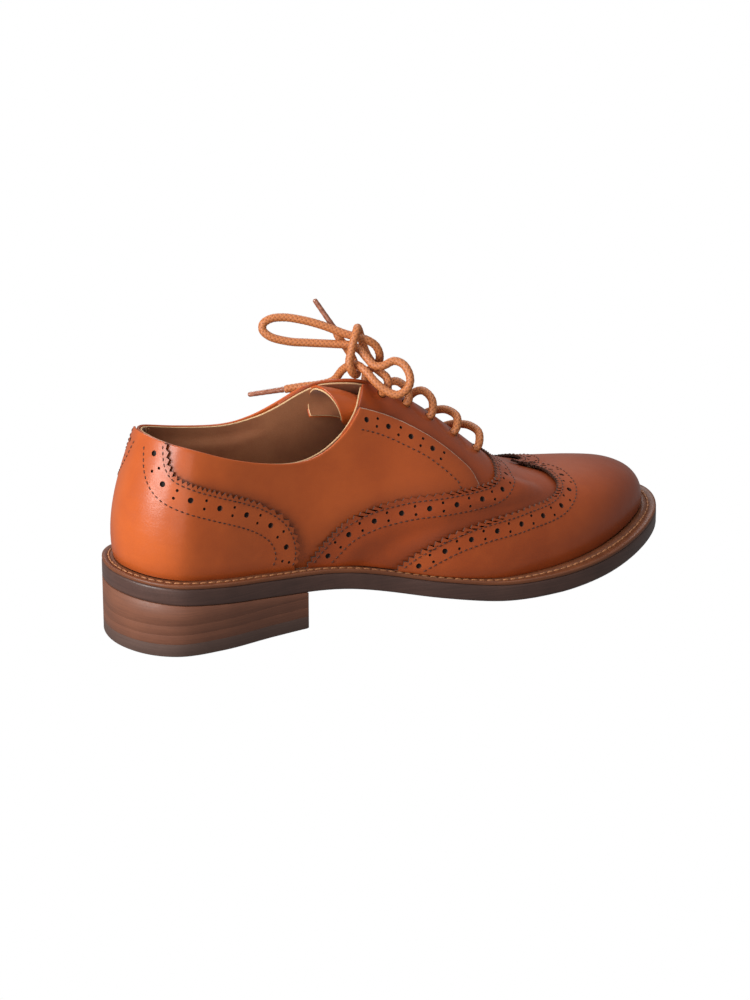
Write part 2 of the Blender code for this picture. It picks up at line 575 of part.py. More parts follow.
def make_upper(mats):
    both = (OUTER, INNER)
    words = {OUTER: "outer", INNER: "inner"}
    back = straight((BACK_SEAM, 0), (BACK_SEAM, TOPLINE_OUTER[0][1]), 9)
    for side, edge in ((OUTER, QUARTER_EDGE_OUTER), (INNER, QUARTER_EDGE_INNER)):
        front = ends_on_topline(line(edge, 9), side)
        foot = np.vstack([closer((BACK_SEAM, 0), QUARTER_UNDER_VAMP[0], 11)[:-1],
                          line(QUARTER_UNDER_VAMP, 6)])
        top = topline_part(side, BACK_SEAM, front[-1, 0], 17)
        leather(f"quarter_{words[side]}", {side: patch(foot, top, back, front)}, flat(BASE),
                mats["leather"])

    fox = {side: foxing_grid(side) for side in both}
    leather("heel_foxing", fox, flat(OVERLAY), mats["leather"])

    vamp = {side: patch(straight(VAMP_EDGE[0], VAMP_FRONT[0], 7),
                        straight(VAMP_EDGE[-1], VAMP_FRONT[-1], 7),
                        line(VAMP_EDGE, 18), line(VAMP_FRONT, 18)) for side in both}
    leather("vamp", vamp, vamp_levels, mats["leather_dark"])

    cap = {side: toe_patch(CAP_EDGE, 12, 11) for side in both}
    leather("toe_cap", cap, flat(OVERLAY), mats["leather_dark"])

    for side, foot in ((OUTER, FACING_FOOT_OUTER), (INNER, FACING_FOOT_INNER)):
        dense = topline_part(side, foot[0][0], LACE_EDGE[0][0], 200)
        rear = crowded([tuple(dense[k]) for k in (0, 50, 100, 150, 200)], 8)
        foot = line((tuple(rear[0]),) + foot[1:], 9)
        facing = leather(f"facing_{words[side]}",
                         {side: patch(foot, line(LACE_EDGE, 9), rear, crowded(FACING_FRONT, 8))},
                         flat(UNDER), mats["leather_dark"])
        cutter_for(facing, eyelet_cutter(side, words[side], "facing", EYELET_RADIUS))
        lining = leather(f"quarter_lining_{words[side]}", {side: lining_grid(side)},
                         lining_levels, mats["lining"])
        cutter_for(lining, eyelet_cutter(side, words[side], "lining", LINING_HOLE_RADIUS),
                   solver="MANIFOLD")

    seam = LINING_SEAM[:-1] + ((LINING_SEAM[-1][0] + 0.003, 1),)
    toe = {side: toe_patch(seam, 10, 9) for side in both}
    for grid in toe.values():
        grid[:, 0, 0] += SEAM_GAP
    leather("vamp_lining", toe, lining_levels, mats["lining"])

    grip = {side: patch(closer((0, 0), GRIP_SEAM[0], 8),
                        topline_part(side, 0, GRIP_SEAM[-1][0], 8),
                        straight((0, 0), (0, TOPLINE_OUTER[0][1]), 9),
                        ends_on_topline(line(GRIP_SEAM, 9), side)) for side in both}
    leather("heel_grip_lining", grip, lining_levels, mats["lining"])

    counter = {side: patch(closer((0, 0), COUNTER_EDGE[0], 10), line(COUNTER_TOP, 10),
                           straight((0, 0), COUNTER_TOP[0], 6),
                           line(COUNTER_EDGE, 6)) for side in both}
    leather("heel_counter", counter, flat(UNDER), mats["board"])

    puff = {side: toe_patch(PUFF_EDGE, 8, 7) for side in both}
    leather("toe_puff", puff, flat(PUFF), mats["board"])


def closer(start, end, steps, power=1.25):
    """Steps along the feather line, closer together where it turns round heel or toe."""
    share = np.linspace(0, 1, steps + 1)[:, None] ** power
    return np.array(start) * (1 - share) + np.array(end) * share


def crowded(points, steps):
    """A line whose steps shorten towards its end, up on the crown of the shoe."""
    dense = line(points, 200)
    along = 1 - (1 - np.linspace(0, 1, steps + 1)) ** 1.6
    return np.stack([np.interp(along, np.linspace(0, 1, 201), dense[:, k]) for k in (0, 1)], 1)


def toe_patch(edge, columns, rows):
    """From a line across the shoe forward to the toe, closer together round the toe."""
    toe = closer((1, 0), edge[0], columns, 1.1)[::-1]
    ridge = closer((1, 1), edge[-1], columns, 0.7)[::-1]
    rise = np.linspace(0, 1, rows + 1) ** 1.2
    dense = line(edge, 200)
    along = np.linspace(0, 1, 201)
    back = np.stack([np.interp(rise, along, dense[:, k]) for k in (0, 1)], 1)
    front = np.stack([np.ones(rows + 1), back[:, 1]], 1)
    return patch(toe, ridge, back, front)


def foxing_grid(side):
    """The heel foxing: its top runs along the topline, then down the neck to the wide foot."""
    edge = topline_part(side, 0, FOXING_NECK[0][0], 4)
    top = np.vstack([edge, line((tuple(edge[-1]),) + FOXING_NECK[1:], 9)[1:]])
    front = line(FOXING_EDGE, 8)
    return patch(closer((0, 0), FOXING_EDGE[0], 13), top,
                 straight((0, 0), (0, TOPLINE_OUTER[0][1]), 8), front)


def lining_grid(side):
    back = ends_on_topline(crowded(GRIP_SEAM, 10), side)
    edge = line(LACE_EDGE + (LINING_SEAM[-1],), 6)
    top = np.vstack([topline_part(side, back[-1, 0], LACE_EDGE[0][0], 8)[:-1], edge])
    grid = patch(straight(GRIP_SEAM[0], LINING_SEAM[0], 14), top, back, crowded(LINING_SEAM, 10))
    grid[:, 0, 0] += SEAM_GAP
    return grid


def ends_on_topline(points, side):
    """The same line, its last point moved onto that side's topline."""
    dense = through(topline(side), 600)
    points = points.copy()
    points[-1, 1] = np.interp(points[-1, 0], dense[:, 0], dense[:, 1])
    return points


def eyelet(side, number, off):
    w, t = EYELETS[number]
    return on_last(side, np.array(w), np.array(t), off)


def eyelet_cutter(side, word, target, radius, sides=12):
    """Five round bars square to the facing, in one cutter."""
    points, faces = [], []
    turns = np.linspace(0, 2 * math.pi, sides, endpoint=False)
    for number in range(len(EYELETS)):
        start, end = eyelet(side, number, 3.0), eyelet(side, number, -6.0)
        along = (end - start) / np.linalg.norm(end - start)
        across = np.cross(along, (0, 1, 0))
        across /= np.linalg.norm(across)
        other = np.cross(along, across)
        first = len(points)
        points += [centre + radius * (math.cos(turn) * across + math.sin(turn) * other)
                   for centre in (start, end) for turn in turns]
        faces += grid_faces(2, sides, first, wrap=True)
        faces += [tuple(range(first + sides - 1, first - 1, -1)),
                  tuple(range(first + sides, first + 2 * sides))]
    return solid(f"{target}_holes_{word}", points, faces, MATERIALS["steel"])


# ---------------------------------------------------------------- the tongue

def tongue_skin(xs, arch, depth):
    """Points over the tongue's arch, depth millimetres below its top face."""
    x = np.repeat(xs[:, None], len(arch), 1)
    k = np.repeat(arch[None], len(xs), 0)
    narrow = 1 - 0.5 * depth / rule(TONGUE_HALF, x)
    y = rule(TONGUE_Y, x) + rule(TONGUE_HALF, x) * k * narrow
    z = rule(TONGUE_TOP, x) - rule(TONGUE_FALL, x) * np.abs(k) ** 1.9 - depth
    slant = TONGUE_SLANT * np.maximum(-k, 0) * ease(0, -TONGUE_X[1], -x)
    return np.stack([x + slant, y, z], -1).reshape(-1, 3)


def make_tongue(mats):
    xs = np.linspace(*TONGUE_X, 11)
    arch = np.linspace(-1, 1, 9)
    faces = grid_faces(len(xs), len(arch))
    pieces = []
    depth = 0.0
    for name, thick, mat in (("tongue", TONGUE_THICK, "leather_dark"),
                             ("tongue_lining", TONGUE_LINING_THICK, "lining")):
        pieces.append(shell(name, tongue_skin(xs, arch, depth),
                            tongue_skin(xs, arch, depth + thick), faces, mats[mat]))
        depth += thick + TONGUE_GAP
    hinge = bpy.data.objects.new("tongue_hinge", None)
    bpy.context.scene.collection.objects.link(hinge)
    hinge.location = (TONGUE_X[0] * MM, CENTRE_Y * MM, (rule(TONGUE_TOP, TONGUE_X[0]) - 1) * MM)
    bpy.context.view_layer.update()
    for piece in pieces:
        piece.parent = hinge
        piece.matrix_parent_inverse = hinge.matrix_world.inverted()


# ---------------------------------------------------------------- the laces

# Bars over the throat, from the outer eyelet of a row to the inner one, rows 2 to 5
BARS = {1: ((2.5, -6, 88.5), (1.5, 0, 90.5), (0.5, 5.5, 88.5)),
        2: ((14.5, -7, 82), (14, -1, 84.5), (13, 5, 82.5)),
        3: ((26, -8.5, 73), (25.5, -1.5, 74.3), (24.5, 5.5, 72.6)),
        4: ((36.5, -9.5, 64.4), (36.5, -2, 65.6), (35.5, 6, 64.3), (35, 10, 63.2))}
# The last run: from the lowest outer eyelet, under the throat, to the top inner one
LONG_RUN = ((27, -6.7, 58.5), (19, -3, 65.8), (9, 0, 73.6), (0, 1.5, 79.6), (-6, 1.8, 82.7),
            (-9.3, 2.4, 84.6))
# The bow, from each top eyelet to its aglet
INNER_END = ((-8.6, 9, 92.8), (-7.6, 7.5, 95.2), (-6, 4.5, 97.3), (-6.2, 2, 100.5),
             (-7, 0.5, 104), (-8.5, 1, 107.5), (-11.5, 2.5, 110), (-14, 4.5, 111),
             (-19, 8, 112.5), (-27, 14, 116), (-33.5, 19, 118), (-40, 23.5, 119),
             (-45, 26, 118.5), (-48, 27, 116.5), (-48.5, 26.5, 114), (-46.5, 24, 111.5),
             (-40, 19.5, 109.5), (-33.5, 15.5, 109), (-24, 9.5, 108.5), (-18, 5.5, 108),
             (-15.5, 2.5, 106.5), (-14, -1, 103.5), (-12.5, -4.5, 101), (-10, -7, 101),
             (-5.5, -9, 103), (-3, -12, 102), (-2, -15, 99), (-2.5, -17, 95.5),
             (-4.5, -17.5, 92.5), (-8, -16, 90.5), (-11, -13, 91.5), (-14, -9, 94.5),
             (-16, -4, 98.5), (-17.5, 0.5, 100.5), (-18.5, 5, 99.5), (-19.3, 10.3, 96.2),
             (-21, 15.4, 90.4), (-25.5, 20.2, 88), (-30, 24, 87), (-33.5, 26.6, 86.2),
             (-37, 29, 85.4))
OUTER_END = ((-8.2, -8.6, 93.2), (-7.8, -6.6, 95.5), (-8.6, -3, 97), (-9.5, 0.5, 98.5),
             (-9.5, 3, 100.3), (-10, 5.5, 102.5), (-10.5, 7.8, 106), (-11.5, 8.5, 110.5),
             (-14, 6.5, 114.8), (-16.5, 3.2, 114.8), (-18.8, 1.5, 111.5),
             (-20.5, 1, 106.5), (-22, 0, 102.5), (-21.5, -0.5, 99.5), (-19.5, 0.5, 97),
             (-16.5, 3, 96), (-15, 7, 98.5), (-15.5, 10, 102.5), (-17.5, 11.5, 106.5),
             (-19.5, 12.5, 109.5), (-20.5, 14, 113))
INNER_AGLET = (-14, 9, -2.7)      # the way each aglet points, mm
OUTER_AGLET = (-6.5, 6, 12.5)
SEAT = -6.4                        # how deep the lace runs under the facing
HOLE_OFFS = (0.6, -1.9, -4.4)      # places along an eyelet that keep the lace square to it
RUN_END, FREE_START = -2.7, -1.8   # where the lace is parted inside each top eyelet
EXIT_OFF = 1.9


def beneath(side, upper, lower):
    """Two places on a run under the facing between two eyelets."""
    ends = np.array([EYELETS[upper], EYELETS[lower]])
    places = [ends[0] + share * (ends[1] - ends[0]) for share in (0.3, 0.7)]
    return [tuple(on_last(side, w, t, SEAT)) for w, t in places]


def through_eyelet(side, number, inwards=True):
    offs = HOLE_OFFS if inwards else HOLE_OFFS[::-1]
    return [tuple(eyelet(side, number, off)) for off in offs]


def lacing_route():
    """Straight bars outside and short runs beneath each facing, as one length of lace."""
    route = [tuple(eyelet(OUTER, 0, off)) for off in (RUN_END, HOLE_OFFS[-1])]
    side = OUTER
    for row in range(1, len(EYELETS)):
        route += beneath(side, row - 1, row) + through_eyelet(side, row, inwards=False)
        route += BARS[row] if side == OUTER else BARS[row][::-1]
        side = -side
        route += through_eyelet(side, row)
    route += LONG_RUN
    return route + [tuple(eyelet(INNER, 0, off)) for off in (HOLE_OFFS[-1], RUN_END)]


def free_end(side, points):
    """A free end, straight out of its top eyelet."""
    return [tuple(eyelet(side, 0, off)) for off in (FREE_START, EXIT_OFF)] + list(points)


def cord(name, route, radius, mat, spacing):
    """A round lace as a curve with filled ends."""
    dense = through(route, 2000)
    long = np.linalg.norm(np.diff(dense, axis=0), axis=1).sum()
    points = evenly(dense, max(2, round(long / spacing)))
    data = bpy.data.curves.new(name, "CURVE")
    data.dimensions = "3D"
    data.bevel_depth = radius * MM
    data.bevel_resolution = 2
    data.use_fill_caps = True
    spline = data.splines.new("POLY")
    spline.points.add(len(points) - 1)
    for point, place in zip(spline.points, (points + (0, CENTRE_Y, 0)) * MM):
        point.co = (*place, 1)
    return add_object(name, data, mat)


def make_laces(mats):
    cord("lace_run", lacing_route(), LACE_RADIUS, mats["lace"], RUN_SPACING)
    for side, word, points, way in ((OUTER, "outer", OUTER_END, OUTER_AGLET),
                                    (INNER, "inner", INNER_END, INNER_AGLET)):
        cord(f"lace_end_{word}", free_end(side, points), LACE_RADIUS, mats["lace"],
             LACE_SPACING)
        along = np.array(way, float) / np.linalg.norm(way)
        start = np.array(points[-1]) + along * CORD_GAP
        cord(f"aglet_{word}", [tuple(start), tuple(start + along * AGLET_LONG)], AGLET_RADIUS,
             mats["aglet"], AGLET_LONG / 2)


# ---------------------------------------------------------------- build

for old in list(bpy.data.objects):
    bpy.data.objects.remove(old, do_unlink=True)

MATERIALS = {
    "leather": material("leather", (0.60, 0.21, 0.07), 0.32),
    "leather_dark": material("leather_dark", (0.45, 0.13, 0.05), 0.30),
    "lining": material("lining", (0.55, 0.36, 0.19), 0.65),
    "sole": material("sole", (0.075, 0.042, 0.03), 0.55),
    "lift": material("lift", (0.22, 0.10, 0.05), 0.55),
    "rubber": material("rubber", (0.07, 0.045, 0.03), 0.7),
    "welt": material("welt", (0.36, 0.14, 0.06), 0.5),
    "thread": material("thread", (0.6, 0.33, 0.17), 0.7),
    "cork": material("cork", (0.45, 0.3, 0.18), 0.9),
    "board": material("board", (0.5, 0.4, 0.28), 0.85),
    "steel": material("steel", (0.55, 0.55, 0.56), 0.35, 1.0),
    "lace": material("lace", (0.47, 0.17, 0.055), 0.5),
    "aglet": material("aglet", (0.4, 0.2, 0.12), 0.3),
}
make_bottom(MATERIALS)
make_upper(MATERIALS)
make_tongue(MATERIALS)
make_laces(MATERIALS)
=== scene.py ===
"""The looks of a woman's wing-tip oxford shoe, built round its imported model.

Lengths are in millimetres and are turned into metres as each mesh is made. The upper is drawn on
the surface of the same last as the model's: a place on it is a station w, from 0 at the back
seam to 1 at the toe, and a rise t, from 0 at the feather line to 1 at the ridge over the foot.
"""
import json
import math

import bmesh
import bpy
import numpy as np
from mathutils import Matrix


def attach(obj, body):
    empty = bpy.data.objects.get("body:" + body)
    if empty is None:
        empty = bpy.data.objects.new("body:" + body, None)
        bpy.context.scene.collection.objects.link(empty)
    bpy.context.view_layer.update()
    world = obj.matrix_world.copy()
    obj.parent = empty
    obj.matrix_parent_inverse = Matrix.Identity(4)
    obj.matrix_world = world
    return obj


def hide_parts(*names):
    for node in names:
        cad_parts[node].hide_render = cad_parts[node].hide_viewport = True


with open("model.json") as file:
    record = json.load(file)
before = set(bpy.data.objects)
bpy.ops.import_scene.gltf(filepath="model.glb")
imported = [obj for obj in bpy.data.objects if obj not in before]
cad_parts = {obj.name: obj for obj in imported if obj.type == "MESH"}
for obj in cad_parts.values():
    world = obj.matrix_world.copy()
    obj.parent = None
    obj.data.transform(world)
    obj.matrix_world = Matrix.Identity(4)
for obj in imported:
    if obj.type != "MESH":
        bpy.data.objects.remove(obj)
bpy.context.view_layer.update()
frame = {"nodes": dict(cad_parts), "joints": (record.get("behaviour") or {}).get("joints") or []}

MM = 0.001
SHOE, TONGUE = "shoe", "tongue"
CENTRE_Y = frame["joints"][0]["pos_m"][1] / MM
OUTER, INNER = -1, 1
BOTH = (OUTER, INNER)
WORD = {OUTER: "outer", INNER: "inner"}

# Driving dimensions of the bottom, mm
GAP = 0.1                    # between flat layers of the solids that lie on each other
OUTSOLE_THICK = 7.4
WELT_THICK = 1.6
TOP_PIECE_HIGH = 5.4
LIFT_HIGH = 3.9
BREAST_X = -58.5             # the heel's front face

# Sole outline seen from above: round the back, up the outer side (-y), toe, and home
OUTLINE = ((-135, 0), (-130, -19), (-119, -29.5), (-99.5, -32), (-75, -29.5), (-49, -28.5),
           (-21, -32.5), (8, -41.5), (36, -47), (62, -47), (90, -40), (114, -27),
           (128.5, -12.5), (135, 5), (131.5, 20), (116, 33), (90, 41.5), (60, 43.5),
           (36, 40), (8, 32.5), (-22, 27), (-50, 28), (-77, 31), (-101, 32.5),
           (-120, 29.5), (-130, 19))
# Height of the sole's underside along its length: heel pitch, flat tread, toe spring
UNDERSIDE = ((-136, 24), (-74, 17.3), (-40, 14), (0, 5.3), (30, 0.5), (42, 0), (56, 0),
             (80, 1.2), (110, 5), (136, 9.5))

# The last. Each rule runs along x: (x, value) pairs joined by a smooth curve.
FEATHER_INSET = ((-135, 6), (-120, 6.5), (-60, 5.5), (0, 3), (60, 9.5), (110, 9.5), (135, 7.8))
RIDGE_X = ((-129, -111), (-100, -95), (-60, -66), (-20, -30), (20, 6), (60, 42), (90, 62),
           (112, 71), (127, 75))
RIDGE_HIGH = ((-115, 116), (-90, 106), (-60, 97), (-30, 98), (-10, 93.5), (10, 81.5),
              (30, 66), (50, 49.5), (64, 42), (75, 38.5), (86, 37.2))
RIDGE_Y = ((-120, 0), (-60, 0), (0, 1.5), (40, 3.2), (75, 3.6))
RIDGE_SPREAD = ((-129, 0.64), (-100, 0.78), (-75, 0.86), (-50, 0.78), (-25, 0.42), (-5, 0.1),
                (15, 0), (135, 0))
WALL_RISE = ((-135, 30), (-60, 26), (0, 24), (60, 28), (100, 24), (131, 15))
WALL_BULGE = ((-135, 5.5), (-110, 4.5), (-60, 3.5), (0, 3), (60, 5), (131, 1.5))
CROWN_REACH = ((-135, 0.03), (-60, 0.16), (-20, 0.35), (20, 0.62), (60, 0.59), (131, 0.54))
CROWN_DROP = ((-135, 22), (-60, 21), (-20, 14), (20, 4), (60, 1), (131, -5.5))

# Leathers: inner and outer face, mm outside the last's surface
OVERLAY = (0.4, 1.5)
BASE = (-1.1, 0.0)
FACING = (-2.6, -1.25)       # close under the quarter's cut edge
LINING = (-4.0, -3.2)
LINING_AT_EDGE = (-2.3, -1.5)
VAMP_LOW = (-1.4, -0.3)      # where the vamp runs under the toe cap and over the facings
BACK_SEAM = 0.0017           # station where each quarter stops short of the back seam
SEAM_GAP = 0.0036            # stations between two linings that meet edge to edge

# Lines drawn on the last as (station, rise), and what a unit of each measures in mm
DRAWN_SCALE = (330, 90)
TOPLINE_OUTER = ((0, 0.628), (0.08, 0.628), (0.16, 0.628), (0.27, 0.606), (0.31, 0.601),
                 (0.365, 0.601), (0.395, 0.622), (0.427, 0.68), (0.445, 0.735),
                 (0.461, 0.80), (0.478, 0.9), (0.487, 0.955))
TOPLINE_INNER = ((0, 0.628), (0.08, 0.622), (0.16, 0.621), (0.24, 0.631), (0.30, 0.655),
                 (0.335, 0.684), (0.365, 0.73), (0.40, 0.80), (0.427, 0.865),
                 (0.45, 0.91), (0.475, 0.94), (0.487, 0.955))
FOXING_EDGE = ((0.339, 0), (0.344, 0.07), (0.344, 0.15), (0.338, 0.235), (0.325, 0.31),
               (0.30, 0.372))
FOXING_NECK = ((0.09, 0.628), (0.095, 0.585), (0.105, 0.53), (0.125, 0.488), (0.17, 0.46),
               (0.22, 0.439), (0.265, 0.412), (0.30, 0.372))
VAMP_EDGE = ((0.353, 0), (0.375, 0.12), (0.405, 0.245), (0.44, 0.318), (0.481, 0.367),
             (0.52, 0.399), (0.56, 0.45), (0.585, 0.498), (0.608, 0.60), (0.63, 0.755),
             (0.646, 0.88), (0.664, 1))
VAMP_FRONT = ((0.487, 0), (0.52, 0.12), (0.565, 0.21), (0.62, 0.275), (0.68, 0.355),
              (0.735, 0.49), (0.765, 0.66), (0.79, 0.83), (0.795, 0.93), (0.775, 1))
CAP_EDGE = ((0.456, 0), (0.481, 0.116), (0.519, 0.221), (0.562, 0.293), (0.613, 0.354),
            (0.664, 0.433), (0.689, 0.498), (0.713, 0.592), (0.733, 0.70), (0.757, 0.81),
            (0.77, 0.90), (0.765, 0.965), (0.745, 1))
QUARTER_UNDER_VAMP = ((0.372, 0), (0.393, 0.10), (0.425, 0.225), (0.46, 0.29),
                      (0.50, 0.335), (0.54, 0.37), (0.569, 0.405))
QUARTER_EDGE_OUTER = ((0.569, 0.405), (0.568, 0.498), (0.565, 0.556), (0.54, 0.649),
                      (0.509, 0.708), (0.461, 0.80))
QUARTER_EDGE_INNER = ((0.569, 0.405), (0.568, 0.498), (0.565, 0.556), (0.54, 0.649),
                      (0.509, 0.722), (0.46, 0.83), (0.43, 0.872))
FACING_FOOT_OUTER = ((0.427, 0.68), (0.462, 0.636), (0.496, 0.568), (0.52, 0.506),
                     (0.535, 0.44), (0.542, 0.385))
FACING_FOOT_INNER = ((0.40, 0.80), (0.43, 0.752), (0.462, 0.68), (0.496, 0.58),
                     (0.52, 0.51), (0.535, 0.44), (0.542, 0.385))
FACING_FRONT = ((0.542, 0.385), (0.585, 0.43), (0.612, 0.50), (0.632, 0.60), (0.653, 0.76),
                (0.674, 0.93), (0.679, 0.985))
LACE_EDGE = ((0.487, 0.955), (0.52, 0.958), (0.56, 0.968), (0.60, 0.984), (0.679, 0.985))
LINING_SEAM = ((0.515, 0), (0.56, 0.25), (0.61, 0.5), (0.66, 0.75), (0.705, 0.985))
GRIP_SEAM = ((0.235, 0), (0.21, 0.25), (0.165, 0.5), (0.14, 0.628))

# Lacing: five pairs of plain holes, from the top of the throat down
EYELETS = ((0.503, 0.885), (0.532, 0.865), (0.559, 0.845), (0.585, 0.812), (0.611, 0.778))
EYELET_RADIUS, LINING_HOLE_RADIUS = 2.0, 2.3
LACE_RADIUS = 1.78
AGLET_LONG = 15.5
CORD_GAP = 0.3               # between the lace's end and its aglet

# Tongue: an arch that rises from the throat. Rules along x, as for the last.
TONGUE_X = (46.0, -36.0)
TONGUE_TOP = ((-36, 94.2), (-24, 90.4), (-12, 84.2), (0, 76.8), (20, 62.5), (46, 42))
TONGUE_HALF = ((-36, 10.6), (-12, 10.5), (0, 12), (20, 15), (46, 18))
TONGUE_FALL = ((-36, 16), (-24, 14), (-12, 13), (0, 13), (20, 10.5), (46, 7))
TONGUE_Y = ((-36, 1.6), (-24, 0), (-12, -1), (10, 0.3), (46, 1.5))
TONGUE_SLANT = 7.0           # how far the end's outer leg stops short of its inner one
TONGUE_CURL = 2.3            # radians from the middle to each edge of the curled end
TONGUE_THICK = 1.1
TONGUE_LINING_THICK = 0.8
TONGUE_PARTED = 0.12         # between the tongue and its lining
TONGUE_BEND = 0.82 * math.pi / 2    # spreads the mesh's columns towards the tongue's edges

# ---------------------------------------------------------------- scene: camera, light, floor

CAMERA_AZIMUTH, CAMERA_ELEVATION = -31.0, 19.2
CAMERA_DISTANCE = 1450.0
CAMERA_TARGET = (0.0, CENTRE_Y, 40.0)
FLOOR_HALF = 4000.0


def unit(vectors):
    """The same vectors, each one unit long."""
    return vectors / np.linalg.norm(vectors, axis=-1, keepdims=True)


def towards(azimuth, elevation):
    """Unit vector from the shoe to a place at an azimuth round it; 0 looks along +Y."""
    a, e = math.radians(azimuth), math.radians(elevation)
    return np.array([math.sin(a) * math.cos(e), -math.cos(a) * math.cos(e), math.sin(e)])


def aim(obj, place, target):
    """Put a camera or a light at a place in mm, facing the target."""
    obj.location = [v * MM for v in place]
    back = unit(np.array(place, float) - np.array(target, float))
    right = unit(np.cross((0, 0, 1), back))
    up = np.cross(back, right)
    obj.rotation_euler = Matrix((right, up, back)).transposed().to_euler()


def make_camera():
    data = bpy.data.cameras.new("camera")
    data.lens, data.sensor_width = 122.1, 36.0
    data.shift_x, data.shift_y = -0.0193, -0.0052
    camera = bpy.data.objects.new("camera", data)
    place = towards(CAMERA_AZIMUTH, CAMERA_ELEVATION) * CAMERA_DISTANCE + CAMERA_TARGET
    aim(camera, place, CAMERA_TARGET)
    bpy.context.scene.collection.objects.link(camera)
    bpy.context.scene.camera = camera


def softbox(name, azimuth, elevation, distance, size, power):
    """A white area light; size is its width and height in mm, power is in watts."""
    data = bpy.data.lights.new(name, "AREA")
    data.shape = "RECTANGLE"
    data.size, data.size_y = size[0] * MM, size[1] * MM
    data.energy = power
    light = bpy.data.objects.new(name, data)
    bpy.context.scene.collection.objects.link(light)
    aim(light, towards(azimuth, elevation) * distance, CAMERA_TARGET)


def make_studio():
    """Four softboxes round the shoe, on a white floor that glows and takes no shadow."""
    scene = bpy.context.scene
    scene.view_settings.view_transform = "Standard"
    scene.view_settings.look = "None"
    scene.world = bpy.data.worlds.new("studio")
    scene.world.use_nodes = True
    background = scene.world.node_tree.nodes["Background"]
    background.inputs["Color"].default_value = (1, 1, 1, 1)
    background.inputs["Strength"].default_value = 0.24
    softbox("key", -82, 24, 1500, (1000, 900), 29)
    softbox("top", 60, 75, 1400, (900, 500), 5)
    softbox("fill", -30, 6, 1900, (1400, 700), 5)
    softbox("rim", 160, 45, 1500, (900, 500), 7)
    paper = plain("floor", (0, 0, 0), 1.0)
    shader = paper.node_tree.nodes["Principled BSDF"]
    shader.inputs["Emission Color"].default_value = (1, 1, 1, 1)
    shader.inputs["Emission Strength"].default_value = 1.0
    shader.inputs["Specular IOR Level"].default_value = 0.0
    far = FLOOR_HALF * MM
    data = bpy.data.meshes.new("floor")
    data.from_pydata([(-far, -far, 0), (far, -far, 0), (far, far, 0), (-far, far, 0)], [],
                     [(0, 1, 2, 3)])
    data.materials.append(paper)
    floor = bpy.data.objects.new("floor", data)
    floor.visible_diffuse = False
    floor.visible_glossy = False
    scene.collection.objects.link(floor)


# ---------------------------------------------------------------- materials

def plain(name, colour, roughness, metallic=0.0):
    mat = bpy.data.materials.new(name)
    mat.use_nodes = True
    shader = mat.node_tree.nodes["Principled BSDF"]
    shader.inputs["Base Color"].default_value = (*colour, 1)
    shader.inputs["Roughness"].default_value = roughness
    shader.inputs["Metallic"].default_value = metallic
    return mat


class Nodes:
    """Short ways to add and join shader nodes of one material."""

    def __init__(self, name, colour=(0.5, 0.5, 0.5), roughness=0.5, metallic=0.0):
        self.mat = plain(name, colour, roughness, metallic)
        self.tree = self.mat.node_tree
        self.shader = self.tree.nodes["Principled BSDF"]
        self.place = self.tree.nodes.new("ShaderNodeTexCoord").outputs["Object"]

    def put(self, socket, value):
        if isinstance(value, bpy.types.NodeSocket):
            self.tree.links.new(value, socket)
        else:
            socket.default_value = value

    def set(self, **values):
        for word, value in values.items():
            self.put(self.shader.inputs[word.replace("_", " ")], value)

    def add(self, kind, output, inputs, **settings):
        """A new node's output socket; inputs gives a value or a socket for each input."""
        node = self.tree.nodes.new("ShaderNode" + kind)
        for word, value in settings.items():
            setattr(node, word, value)
        for word, value in inputs.items():
            self.put(node.inputs[word], value)
        return node.outputs[output]

    def stretched(self, scale):
        return self.add("Mapping", "Vector", {"Scale": scale, "Vector": self.place})

    def noise(self, size, detail, rough, place=None):
        """Noise from 0 to 1 with features about size millimetres across."""
        return self.add("TexNoise", "Fac", {"Scale": 1 / (size * MM), "Detail": detail,
                                            "Roughness": rough, "Vector": place or self.place})

    def cells(self, size):
        return self.add("TexVoronoi", "Distance", {"Scale": 1 / (size * MM), "Vector": self.place})

    def ramp(self, value, low, high, start=0.0, end=1.0):
        """start to end as value goes from low to high."""
        return self.add("MapRange", "Result", {"Value": value, "From Min": low, "From Max": high,
                                               "To Min": start, "To Max": end},
                        interpolation_type="SMOOTHSTEP")

    def math(self, operation, a, b):
        return self.add("Math", "Value", {0: a, 1: b}, operation=operation)

    def axis(self, letter):
        """Position along X, Y or Z in millimetres."""
        return self.math("DIVIDE", self.add("SeparateXYZ", letter, {0: self.place}), MM)

    def attribute(self, name):
        return self.add("Attribute", "Fac", {}, attribute_name=name)

    def mix(self, share, a, b):
        """Colour a where share is 0, colour b where it is 1."""
        a, b = (c if isinstance(c, bpy.types.NodeSocket) else (*c, 1) for c in (a, b))
        return self.add("Mix", "Result", {"Factor": share, "A": a, "B": b}, data_type="RGBA")

    def bump(self, height, distance, strength=1.0, under=None):
        """A normal from a height of 0 to 1 that stands distance millimetres high."""
        inputs = {"Strength": strength, "Distance": distance * MM, "Height": height}
        if under is not None:
            inputs["Normal"] = under
        return self.add("Bump", "Normal", inputs)


TAN = (0.56, 0.112, 0.021)
TAN_DEEP = (0.40, 0.068, 0.012)
BURNT = (0.24, 0.042, 0.010)
BURNT_DEEP = (0.09, 0.017, 0.006)


